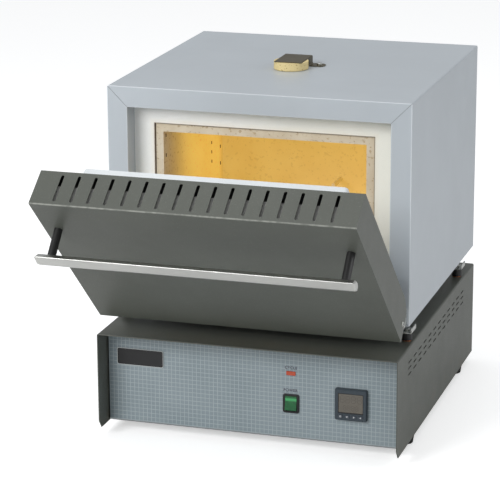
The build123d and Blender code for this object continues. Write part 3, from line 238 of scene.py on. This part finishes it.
def door_paint():
    """The same paint, with a patchy painted highlight along the bend between the door's face and its
    top.
    """
    f = Finish("door paint", 0.46, coat_weight=0.15, coat_roughness=0.35)
    paint = DARK_PAINT
    grain = f.noise(1500.0, 2.0)
    clouds = f.noise(9.0, 4.0, shift=(3, 1, 2)).ramp(0.3, 0.7)
    tone = f.mix(clouds, shade(paint, 0.95), shade(paint, 1.05))
    specks = f.noise(680.0, 2.0, shift=(5, 7, 1)).ramp(0.64, 0.7)
    tone = f.mix(specks, tone, linear(108, 110, 104))
    # Painted highlight: a light line along the bend between the door's face and its top.
    bend = SWING @ place(0, DOOR_FACE_Y + 0.6, DOOR_LOW_Z + DOOR_LENGTH - 0.6)
    away_y = f.along("Y") - bend.y
    away_z = f.along("Z") - bend.z
    away = (away_y * away_y + away_z * away_z).maths("SQRT")
    bend_highlight = 1 - away.ramp(0.0007, 0.0019)
    patchy = f.noise(120.0, 4.0, shift=(2, 6, 1)).ramp(0.3, 0.6) * 0.7 + 0.3
    tone = f.mix(bend_highlight * patchy * 0.6, tone, linear(160, 162, 154))
    f.feed("Base Color", tone)
    f.feed("Roughness", f.noise(34.0, 4.0, shift=(1, 9, 4)) * 0.12 + 0.4 + grain * 0.04)
    return f.bump(grain, 0.00005).material


def panel_film():
    """Printed film: fine light grid on grey-green, with uneven line weight."""
    pitch = 0.0065
    line_blur = 0.00016
    f = Finish("panel film", 0.38, coat_weight=0.3, coat_roughness=0.2)
    lines = None
    for axis, offset in (("X", 0.0021), ("Z", 0.0013)):
        cell = f.add("ShaderNodeMath", {"operation": "PINGPONG"},
                     {0: f.along(axis) + offset, 1: pitch / 2})
        weight = f.noise(60.0, 2.0, shift=(2, 2, 8) if axis == "X" else (6, 1, 3)) * 0.0005 + 0.0001
        line = 1 - f.add("ShaderNodeMapRange", {"interpolation_type": "SMOOTHSTEP"},
                         {"Value": cell, "From Min": weight, "From Max": weight + line_blur})
        lines = line if lines is None else lines.larger(line)
    clouds = f.noise(12.0, 3.0).ramp(0.3, 0.7)
    ground = f.mix(clouds, linear(130, 143, 148), linear(139, 151, 156))
    tone = f.mix(lines * 0.7, ground, linear(172, 184, 188))
    # Painted shade: the film darkens at its side edges, for the shaded gap next to the side walls.
    gap_shade = f.along("X").size().ramp(0.2233, 0.2239)
    f.feed("Base Color", f.mix(gap_shade, tone, linear(58, 64, 66)))
    f.feed("Roughness", f.noise(300.0, 3.0) * 0.12 + 0.32 + lines * 0.1)
    f.bump(lines + f.noise(1800.0, 2.0) * 0.3, 0.00002)
    return f.material


def fibre_board(name, colour, stain=0.0, fuzz=0.0001):
    """Vacuum-formed fibre: fuzzy, slightly pitted, yellowed where it faces the heat."""
    f = Finish(name, 0.9)
    strands = f.noise(420.0, 5.0, stretch=(1, 1, 2.6))
    pits = f.noise(900.0, 2.0, shift=(4, 4, 4)).ramp(0.62, 0.72)
    clouds = f.noise(14.0, 4.0).ramp(0.3, 0.7)
    tone = f.mix(clouds, shade(colour, 0.96), shade(colour, 1.03))
    tone = f.mix(strands.ramp(0.5, 0.8) * 0.4, tone, shade(colour, 0.88))
    tone = f.mix(pits * 0.35, tone, shade(colour, 0.74))
    if stain:
        side = f.along("X").size() - PORT_HALF
        top = f.along("Z") - PORT_TOP
        edge = side.larger(top).larger(PORT_BOTTOM - f.along("Z"))
        heat = 1 - edge.ramp(0.0005, 0.010)
        patchy = f.noise(38.0, 4.0, shift=(1, 8, 2)).ramp(0.25, 0.75) * 0.6 + 0.4
        tone = f.mix(heat * patchy * stain, tone, linear(226, 196, 146))
        right = f.along("X").ramp(-0.19, 0.17)
        tone = f.mix(right * 0.45, tone, linear(238, 234, 214))
        # Painted shade: a dark brown line along the port's edge, for the shaded gap there.
        tone = f.mix((1 - edge.ramp(0.0004, 0.0013)) * 0.8, tone, linear(104, 78, 50))
    f.feed("Base Color", tone)
    f.feed("Roughness", strands * 0.1 + 0.84)
    f.bump(strands + pits * -0.6, fuzz)
    return f.material


def heater_plate(name, glow, deep, specks=0.22):
    """Tan refractory that turns to warm yellow towards the back of the chamber, partly its own colour
    and partly painted light, with a painted glow that grows with depth and painted shade in the
    corners at the back plate.
    """
    f = Finish(name, 0.88)
    # Painted light: the yellowing with depth and the emission glow below stand in for the warm light
    # inside the chamber.
    back = f.along("Y").ramp(-0.035, 0.10)
    grain = f.noise(520.0, 4.0)
    dots = f.noise(210.0, 2.0, shift=(3, 5, 9)).ramp(0.60, 0.68)
    clouds = f.noise(22.0, 4.0, shift=(7, 2, 1)).ramp(0.3, 0.7)
    front = f.mix(clouds, linear(208, 192, 166), linear(222, 210, 188))
    front = f.mix(dots * 0.5, front, linear(160, 136, 104))
    tone = f.mix(back, front, deep)
    tone = f.mix(dots * specks, tone, linear(190, 158, 104))
    # Painted shade: the plates darken to brown just in front of the back plate, in the chamber's back
    # corners.
    back_corner_shade = f.along("Y").ramp(0.218, 0.240)
    ahead = 1 - f.along("Y").ramp(BACK_PLATE_Y, BACK_PLATE_Y + 0.0004)
    tone = f.mix(back_corner_shade * ahead * 0.45, tone, linear(170, 126, 62))
    f.feed("Base Color", tone)
    # Painted glow: an emission that grows towards the back, though the plates are no lamp.
    warm = f.mix(clouds, linear(212, 188, 98), linear(226, 204, 112))
    lit = f.mix(back * (1 - dots * 0.25), (0.0, 0.0, 0.0, 1.0), warm)
    f.feed("Emission Color", lit)
    f.shader.inputs["Emission Strength"].default_value = glow
    f.feed("Roughness", grain * 0.12 + 0.82)
    f.bump(grain + dots * -0.7, 0.00012)
    return f.material


def brushed(name, colour, roughness, stretch, depth=0.00001, cloud=0.04, spread=0.08):
    """Metal with fine lines along one direction."""
    f = Finish(name, roughness, 1.0)
    lines = f.noise(60.0, 5.0, stretch)
    clouds = f.noise(20.0, 3.0).ramp(0.3, 0.7)
    tone = f.mix(clouds, shade(colour, 1 - cloud), shade(colour, 1 + cloud))
    f.feed("Base Color", f.mix(lines.ramp(0.35, 0.7) * 0.4, tone, shade(colour, 0.86)))
    f.feed("Roughness", lines * (2 * spread) + (roughness - spread))
    return f.bump(lines, depth).material


def plated_zinc():
    """Bright zinc plating with a faint spangle and darker spots."""
    f = Finish("bright zinc", 0.3, 1.0)
    cells = f.add("ShaderNodeTexVoronoi", {"feature": "F1"}, {"Vector": f.coordinates,
                                                               "Scale": 240.0}, "Distance")
    spots = f.noise(160.0, 4.0).ramp(0.58, 0.72)
    tone = f.mix(cells.ramp(0.1, 0.7), linear(226, 226, 220), linear(196, 198, 194))
    f.feed("Base Color", f.mix(spots * 0.5, tone, linear(150, 146, 136)))
    f.feed("Roughness", cells * 0.14 + 0.22 + spots * 0.15)
    return f.bump(cells, 0.00001).material


def copper():
    f = Finish("copper washer", 0.35, 1.0)
    tarnish = f.noise(230.0, 4.0).ramp(0.42, 0.68)
    f.feed("Base Color", f.mix(tarnish, linear(214, 132, 88), linear(146, 84, 58)))
    f.feed("Roughness", tarnish * 0.25 + 0.28)
    return f.bump(f.noise(900.0), 0.00001).material


def green_rocker():
    """Translucent green plastic with a painted highlight across its upper part and a faint painted
    glow.
    """
    f = Finish("green rocker", 0.22, coat_weight=0.6, coat_roughness=0.08)
    height = f.along("Z")
    # Painted highlight: a lighter strip across the upper part of the rocker.
    highlight_band = height.ramp(0.0722, 0.0746) * (1 - height.ramp(0.0762, 0.0786))
    depth = f.noise(150.0, 2.0).ramp(0.3, 0.7)
    tone = f.mix(depth, linear(10, 86, 44), linear(16, 100, 50))
    tone = f.mix(highlight_band, tone, linear(60, 158, 92))
    f.feed("Base Color", tone)
    # Painted glow: a faint emission over the rocker, strongest on the highlight strip.
    f.feed("Emission Color", f.mix(highlight_band, (0.0, 0.02, 0.008, 1.0), linear(40, 150, 84)))
    f.shader.inputs["Emission Strength"].default_value = 0.1
    f.feed("Roughness", f.noise(400.0) * 0.1 + 0.16)
    return f.bump(f.noise(1200.0), 0.000005).material


def orange_lens():
    """Ribbed orange lamp lens."""
    f = Finish("orange lens", 0.2, coat_weight=0.6, coat_roughness=0.08)
    ribs = f.add("ShaderNodeMath", {"operation": "PINGPONG"}, {0: f.along("X"), 1: 0.0006})
    rib = ribs.ramp(0.0001, 0.0006)
    tone = f.mix(rib, linear(160, 52, 26), linear(204, 84, 42))
    f.feed("Base Color", tone)
    f.feed("Emission Color", tone)
    f.shader.inputs["Emission Strength"].default_value = 0.06
    f.feed("Roughness", f.noise(500.0) * 0.1 + 0.15)
    return f.bump(rib, 0.00006).material


FINISHES = {
    "housing_paint": housing_paint(),
    "dark_paint": dark_paint(),
    "door_paint": door_paint(),
    "panel_film": panel_film(),
    "plate_black": coated("plate black", linear(20, 20, 22), 0.42, coat_weight=0.15,
                          coat_roughness=0.15).material,
    "rubber_black": coated("foot rubber", linear(34, 34, 33), 0.78, grain=800, depth=0.00006,
                           cloud=0.12).material,
    "zinc": plated_zinc(),
    "chassis_zinc": brushed("chassis sheet", linear(178, 182, 184), 0.38, (30, 2, 2)),
    "copper_washer": copper(),
    "bushing_black": coated("bushing black", linear(28, 28, 28), 0.42, grain=700, depth=0.00004,
                            cloud=0.15).material,
    "board_white": fibre_board("collar board", linear(253, 254, 250), stain=0.25, fuzz=0.00008),
    "fibre": fibre_board("fibre blanket", linear(176, 176, 172), fuzz=0.0004),
    "slab_white": fibre_board("door slab", linear(222, 226, 228), fuzz=0.0001),
    "heater_tan": heater_plate("heater plate", 0.32, linear(240, 214, 140)),
    "back_plate": heater_plate("back plate", 0.36, linear(238, 216, 168), 0.08),
    "hearth_ceramic": heater_plate("hearth plate", 0.22, linear(232, 210, 160)),
    "pin_dark": coated("staple wire", linear(92, 70, 48), 0.6, metallic=0.5, grain=2000).material,
    "probe_ceramic": coated("probe ceramic", linear(232, 224, 202), 0.6, grain=1200,
                            depth=0.00003).material,
    "plug_cream": coated("plug ceramic", linear(228, 208, 152), 0.75, grain=700, depth=0.00012,
                         cloud=0.06, speck=linear(190, 168, 116), speck_amount=0.6).material,
    "vent_dark": coated("bracket steel", linear(88, 80, 58), 0.4, metallic=0.5, grain=1300,
                        depth=0.00003, cloud=0.12).material,
    "bar_aluminium": brushed("bar aluminium", linear(214, 214, 210), 0.34, (1.5, 60, 60)),
    "post_black": coated("post black", linear(30, 30, 30), 0.4, grain=900, cloud=0.1).material,
    "switch_black": coated("switch plastic", linear(24, 24, 25), 0.36, grain=1800,
                           cloud=0.08).material,
    "rocker_green": green_rocker(),
    "lamp_orange": orange_lens(),
    "controller_case": coated("controller case", linear(56, 66, 74), 0.42, grain=2000,
                              depth=0.00003, cloud=0.06).material,
    "display": coated("display pane", linear(100, 94, 84), 0.14, grain=600, depth=0.000004,
                      cloud=0.06, coat_weight=0.8, coat_roughness=0.05).material,
    "button_grey": coated("button rubber", linear(74, 80, 90), 0.55, grain=1500,
                          cloud=0.06).material,
    "plastic_black": coated("moulded black", linear(30, 31, 33), 0.45, grain=1600, depth=0.00004,
                            cloud=0.1).material,
    "brass_pin": brushed("contact brass", linear(212, 186, 120), 0.3, (2, 40, 2)),
    "raw_aluminium": brushed("extruded aluminium", linear(196, 198, 200), 0.36, (40, 2, 2)),
    "terminal_ceramic": coated("terminal ceramic", linear(236, 230, 214), 0.5, grain=900,
                               depth=0.00003).material,
    "print_dark": coated("printed ink dark", linear(54, 48, 66), 0.5, grain=2200,
                         cloud=0.08).material,
    "print_light": coated("printed ink light", linear(206, 210, 210), 0.5, grain=2200,
                          cloud=0.04).material,
    "segment_grey": coated("unlit segment", linear(90, 84, 76), 0.2, grain=900,
                           coat_weight=0.6).material,
}

LOOKS = {
    "housing_paint": ("housing_wrap", "housing_floor", "housing_back"),
    "dark_paint": ("base_cover",),
    "door_paint": ("door_shell",),
    "panel_film": ("panel_overlay",),
    "plate_black": ("blank_plate",),
    "rubber_black": ("rubber_feet",),
    "zinc": ("foot_fasteners", "rear_screws", "stand_off_screws", "mounting_straps", "vent_screw",
             "hinge_brackets", "hinge_bracket_screws", "door_screws", "door_hinge_plates",
             "handle_screws"),
    "chassis_zinc": ("base_chassis", "door_inner_panel"),
    "copper_washer": ("stand_off_washers",),
    "bushing_black": ("stand_off_bushings",),
    "board_white": ("collar",),
    "fibre": ("insulation_floor", "insulation_sides", "insulation_top", "insulation_back",
              "door_lining"),
    "slab_white": ("door_insulation",),
    "heater_tan": ("heater_plate_sides", "heater_plate_top", "heater_plate_floor"),
    "back_plate": ("muffle_back_plate",),
    "hearth_ceramic": ("hearth_plate",),
    "pin_dark": ("wall_pins",),
    "probe_ceramic": ("thermocouple", "exhaust_tube", "lead_tubes"),
    "plug_cream": ("vent_plug",),
    "vent_dark": ("vent_bracket",),
    "bar_aluminium": ("handle_bar",),
    "post_black": ("handle_posts",),
    "switch_black": ("rocker_bezel",),
    "rocker_green": ("power_rocker",),
    "lamp_orange": ("cycle_lamp_lens",),
    "controller_case": ("controller_bezel",),
    "display": ("controller_window",),
    "button_grey": tuple("controller_button_%d" % n for n in (1, 2, 3, 4)),
    "plastic_black": ("cycle_lamp_body", "controller_body", "power_inlet", "fuse_holders",
                      "solid_state_relay"),
    "brass_pin": ("inlet_pins",),
    "raw_aluminium": ("relay_heatsink",),
    "terminal_ceramic": ("terminal_block", "heater_terminals"),
}
for look, names in LOOKS.items():
    for name in names:
        node = nodes[name]
        if not node.material_slots:
            node.data.materials.append(FINISHES[look])
        for material_slot in node.material_slots:
            material_slot.material = FINISHES[look]


def piece(name, mesh, body, looks):
    """Puts a finished mesh into the scene on a body."""
    mesh.normal_update()
    data = bpy.data.meshes.new(name)
    mesh.to_mesh(data)
    mesh.free()
    for look in looks:
        data.materials.append(FINISHES[look])
    item = bpy.data.objects.new(name, data)
    bpy.context.scene.collection.objects.link(item)
    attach(item, body)
    return item


def add_block(mesh, x0, x1, y0, y1, z0, z1, bevel=0.0, segments=2):
    """A block between millimetre coordinates, with broken edges."""
    made = bmesh.ops.create_cube(mesh, size=1.0)["verts"]
    low = place(x0, y0, z0)
    high = place(x1, y1, z1)
    bmesh.ops.scale(mesh, vec=high - low, verts=made)
    bmesh.ops.translate(mesh, vec=(low + high) / 2, verts=made)
    if bevel:
        edges = list({edge for vert in made for edge in vert.link_edges})
        bmesh.ops.bevel(mesh, geom=edges, offset=bevel / 1000, segments=segments, profile=0.5,
                        affect="EDGES", material=-1)


def rounded_plate(x, z, width, tall, y0, y1, radius, rim):
    """A plate with round corners whose face is sunk inside a narrow rim; the rim is material 1."""
    mesh = bmesh.new()
    add_block(mesh, x - width / 2, x + width / 2, y0, y1, z - tall / 2, z + tall / 2)
    upright = [e for e in mesh.edges if abs((e.verts[0].co - e.verts[1].co).y) > 1e-6]
    bmesh.ops.bevel(mesh, geom=upright, offset=radius / 1000, segments=6, profile=0.5,
                    affect="EDGES", material=-1)
    face = min(mesh.faces, key=lambda f: f.calc_center_median().y)
    ring = bmesh.ops.inset_region(mesh, faces=[face], thickness=rim / 1000, depth=0.0)["faces"]
    for item in ring:
        item.material_index = 1
    bmesh.ops.inset_region(mesh, faces=[face], thickness=0.0001, depth=-0.00012)
    return mesh


def lettering(name, words, look, body="furnace"):
    """Flat letters standing a hair proud of the panel: (text, x, z, height) in millimetres."""
    mesh = bmesh.new()
    for text, x, z, height in words:
        curve = bpy.data.curves.new(name, "FONT")
        curve.body = text
        curve.align_x = "CENTER"
        curve.size = height / 1000 * 1.38
        curve.extrude = 0.00004
        curve.offset = 0.00010
        curve.space_character = 1.08
        source = bpy.data.objects.new(name + " text", curve)
        bpy.context.scene.collection.objects.link(source)
        bpy.context.view_layer.update()
        data = bpy.data.meshes.new_from_object(source)
        data.transform(Matrix.Translation(place(x, PANEL_FACE - 0.05, z - height / 2))
                       @ Matrix.Rotation(radians(90), 4, "X"))
        mesh.from_mesh(data)
        bpy.data.objects.remove(source)
        bpy.data.meshes.remove(data)
    return piece(name, mesh, body, [look])


lettering("panel_words", [("CYCLE", LAMP[0], LAMP[1] + 8.6, 4.3),
                          ("POWER", ROCKER[0] - 1.0, ROCKER[1] + 20.2, 4.3)], "print_dark")
piece("plate_frame", rounded_plate(PLATE[0], PLATE[1], 72.6, 26.2, PANEL_FACE - 1.35,
                                   PANEL_FACE - 1.0, 3.3, 0.7), "furnace",
      ["plate_black", "print_light"])


def display_segments():
    """Two rows of unlit digits that stand a hair proud of the pane."""
    mesh = bmesh.new()
    front = CONTROL_FRONT + 0.6
    for row_z, tall, wide in ((CONTROL[1] + 8.5, 10.0, 6.0), (CONTROL[1] - 4.5, 7.0, 4.2)):
        for digit in range(4):
            x = CONTROL[0] + (digit - 1.5) * wide * 1.42
            for z in (row_z - tall / 2, row_z, row_z + tall / 2):
                add_block(mesh, x - wide / 2 + 0.7, x + wide / 2 - 0.7, front - 0.06, front + 0.02,
                          z - 0.45, z + 0.45)
            for side in (-1, 1):
                for up in (-1, 1):
                    z = row_z + up * tall / 4
                    add_block(mesh, x + side * wide / 2 - 0.45, x + side * wide / 2 + 0.45,
                              front - 0.06, front + 0.02, z - tall / 4 + 0.6, z + tall / 4 - 0.6)
    return piece("display_segments", mesh, "furnace", ["segment_grey"])


display_segments()


def controller_frame():
    """The raised inner frame round the pane, and the dark strip that carries the buttons."""
    mesh = bmesh.new()
    front = CONTROL_FRONT
    x0, x1 = CONTROL[0] - 19.0, CONTROL[0] + 19.0
    z0, z1 = CONTROL[1] - 12.5, CONTROL[1] + 17.5
    for low_x, high_x, low_z, high_z in ((x0, x1, z1 - 0.8, z1), (x0, x1, z0, z0 + 0.8),
                                         (x0, x0 + 0.8, z0, z1), (x1 - 0.8, x1, z0, z1)):
        add_block(mesh, low_x, high_x, front - 0.1, front + 0.7, low_z, high_z, 0.15, 1)
    add_block(mesh, x0, x1, front - 0.12, front + 0.1, z0 - 0.9, z0 - 0.3, 0.05, 1)
    return piece("controller_frame", mesh, "furnace", ["switch_black"])


controller_frame()


def button_mark(number):
    """A light sign on one controller button: a page, a loop bar, an arrow down or an arrow up."""
    mesh = bmesh.new()
    x = BUTTON_XS[number - 1]
    y = CONTROL_FRONT - 0.9
    if number < 3:
        add_block(mesh, x - 1.3, x + 1.3, y - 0.06, y + 0.03, BUTTON_Z - 1.2, BUTTON_Z - 0.7)
        add_block(mesh, x - 1.3, x + 1.3, y - 0.06, y + 0.03, BUTTON_Z + 0.7, BUTTON_Z + 1.2)
        add_block(mesh, x - 1.3, x - 0.8, y - 0.06, y + 0.03, BUTTON_Z - 0.7, BUTTON_Z + 0.7)
        if number == 1:
            add_block(mesh, x + 0.8, x + 1.3, y - 0.06, y + 0.03, BUTTON_Z - 0.7, BUTTON_Z + 0.7)
    else:
        turn = Matrix.Rotation(radians(-90 if number == 4 else 90), 4, "Y")
        made = bmesh.ops.create_cone(mesh, cap_ends=True, segments=3, radius1=0.0015, radius2=0.0015,
                                     depth=0.00009)["verts"]
        bmesh.ops.transform(mesh, verts=made,
                            matrix=Matrix.Translation(place(x, y - 0.015, BUTTON_Z)) @ turn
                            @ Matrix.Rotation(radians(90), 4, "X"))
    return piece("button_mark_%d" % number, mesh, "button_%d" % number, ["print_light"])


for number in (1, 2, 3, 4):
    button_mark(number)


BAR_HALF = 222.0
BAR_SECTION = [(-4.4, 46.0), (2.6, 42.5), (10.8, 43.8), (20.6, 53.2), (2.7, 55.7), (-4.5, 53.1)]


def bar_cap(side):
    """Facetted end cap of the handle bar, drawn shut and swung open with the door."""
    mesh = bmesh.new()
    x = side * BAR_HALF
    ring = [mesh.verts.new(place(x, DOOR_FACE_Y - out, DOOR_LOW_Z + HANDLE_U + u))
            for u, out in BAR_SECTION]
    face = mesh.faces.new(ring)
    grown = bmesh.ops.extrude_face_region(mesh, geom=[face])["geom"]
    outer = [item for item in grown if isinstance(item, bmesh.types.BMVert)]
    bmesh.ops.translate(mesh, vec=Vector((side * 0.0022, 0, 0)), verts=outer)
    middle = sum((vert.co for vert in outer), Vector()) / len(outer)
    bmesh.ops.scale(mesh, vec=(1, 0.8, 0.8), verts=outer, space=Matrix.Translation(-middle))
    bmesh.ops.recalc_face_normals(mesh, faces=mesh.faces)
    bmesh.ops.transform(mesh, matrix=SWING, verts=mesh.verts)
    return piece("bar_cap_%s" % ("right" if side > 0 else "left"), mesh, "door", ["bar_aluminium"])


for side in (-1, 1):
    bar_cap(side)


def screw_crosses():
    """Black crosses in the screw heads that face outwards: painted shade, dark blocks standing in for
    the shaded cross recesses.
    """
    back_head = HOUSING_REAR + 2.0
    inlet_head = REAR_WALL + 3.0 + 1.9
    places = [(x, z, back_head) for x in BACK_SCREW_XS for z in BACK_SCREW_ZS]
    places += [(x, INLET_Z, inlet_head) for x in INLET_SCREW_XS]
    # Painted shade: black blocks in the rear screw heads' cross recesses.
    mesh = bmesh.new()
    for x, z, y in places:
        add_block(mesh, x - 1.5, x + 1.5, y - 0.2, y + 0.05, z - 0.35, z + 0.35)
        add_block(mesh, x - 0.35, x + 0.35, y - 0.2, y + 0.06, z - 1.5, z + 1.5)
    piece("rear_crosses", mesh, "furnace", ["switch_black"])
    # Painted shade: black blocks in the door screws' cross recesses.
    mesh = bmesh.new()
    for side in (-1, 1):
        x = side * (HALF + 1.5)
        y = DOOR_FACE_Y + DOOR_SCREW[0]
        z = DOOR_LOW_Z + DOOR_SCREW[1]
        low, high = sorted((x - side * 0.2, x + side * 0.05))
        add_block(mesh, low, high, y - 1.6, y + 1.6, z - 0.4, z + 0.4)
        add_block(mesh, low, high, y - 0.4, y + 0.4, z - 1.6, z + 1.6)
    bmesh.ops.transform(mesh, matrix=SWING, verts=mesh.verts)
    piece("door_crosses", mesh, "door", ["switch_black"])


screw_crosses()


# Stage: pale floor, white surroundings and large soft lamps. The floor glows a little for the
# camera alone, so that it reads as white and still keeps the shadow.
def studio_floor():
    mesh = bmesh.new()
    bmesh.ops.create_grid(mesh, x_segments=1, y_segments=1, size=20.0)
    data = bpy.data.meshes.new("floor")
    mesh.to_mesh(data)
    mesh.free()
    f = Finish("studio floor", 0.9)
    f.feed("Base Color", f.mix(f.noise(0.8, 2.0), linear(240, 240, 240), linear(242, 242, 242)))
    ray = f.add("ShaderNodeLightPath", {}, {}, "Is Camera Ray")
    f.feed("Emission Color", f.mix(ray, (0, 0, 0, 1), (0.5, 0.5, 0.5, 1)))
    f.shader.inputs["Emission Strength"].default_value = 1.0
    data.materials.append(f.material)
    floor = bpy.data.objects.new("studio_floor", data)
    bpy.context.scene.collection.objects.link(floor)


def surroundings(light_level):
    world = bpy.data.worlds.new("studio")
    bpy.context.scene.world = world
    world.use_nodes = True
    tree = world.node_tree
    tree.nodes.clear()
    rays = tree.nodes.new("ShaderNodeLightPath")
    seen = tree.nodes.new("ShaderNodeMath")
    seen.operation = "MAXIMUM"
    tree.links.new(rays.outputs["Is Camera Ray"], seen.inputs[0])
    tree.links.new(rays.outputs["Is Transmission Ray"], seen.inputs[1])
    light = tree.nodes.new("ShaderNodeBackground")
    light.inputs["Color"].default_value = (0.96, 0.98, 1.0, 1)
    light.inputs["Strength"].default_value = light_level
    white = tree.nodes.new("ShaderNodeBackground")
    white.inputs["Color"].default_value = (1, 1, 1, 1)
    mixed = tree.nodes.new("ShaderNodeMixShader")
    out = tree.nodes.new("ShaderNodeOutputWorld")
    tree.links.new(seen.outputs[0], mixed.inputs[0])
    tree.links.new(light.outputs[0], mixed.inputs[1])
    tree.links.new(white.outputs[0], mixed.inputs[2])
    tree.links.new(mixed.outputs[0], out.inputs["Surface"])


def softbox(name, position, target, width, tall, power):
    data = bpy.data.lights.new(name, "AREA")
    data.shape = "RECTANGLE"
    data.size = width
    data.size_y = tall
    data.energy = power
    lamp = bpy.data.objects.new(name, data)
    bpy.context.scene.collection.objects.link(lamp)
    lamp.location = position
    lamp.rotation_euler = (Vector(target) - Vector(position)).to_track_quat("-Z", "Y").to_euler()


studio_floor()
surroundings(0.45)
softbox("front box", (-1.4, -2.6, 1.9), (0, 0, 0.25), 1.6, 1.4, 62)
softbox("side box", (2.6, 0.2, 1.5), (0, 0, 0.25), 1.6, 1.4, 15)
softbox("overhead box", (-0.2, 0.3, 2.4), (0, 0.1, 0.3), 1.8, 1.8, 10)

# Camera at the photograph's angle
camera_data = bpy.data.cameras.new("camera")
camera_data.sensor_width = 36.0
camera_data.lens = 166.53
camera = bpy.data.objects.new("camera", camera_data)
bpy.context.scene.collection.objects.link(camera)
camera_right = Vector((0.9550413, 0.2964352, -0.0047139))
camera_up = Vector((-0.0776639, 0.2654954, 0.9609789))
camera_back = Vector((0.2861195, -0.9174085, 0.2765814))
turned = Matrix((camera_right, camera_up, camera_back)).transposed().to_4x4()
camera.matrix_world = Matrix.Translation((0.9506393, -3.1563192, 1.2190412)) @ turned
bpy.context.scene.camera = camera

bpy.context.scene.view_settings.view_transform = "Standard"
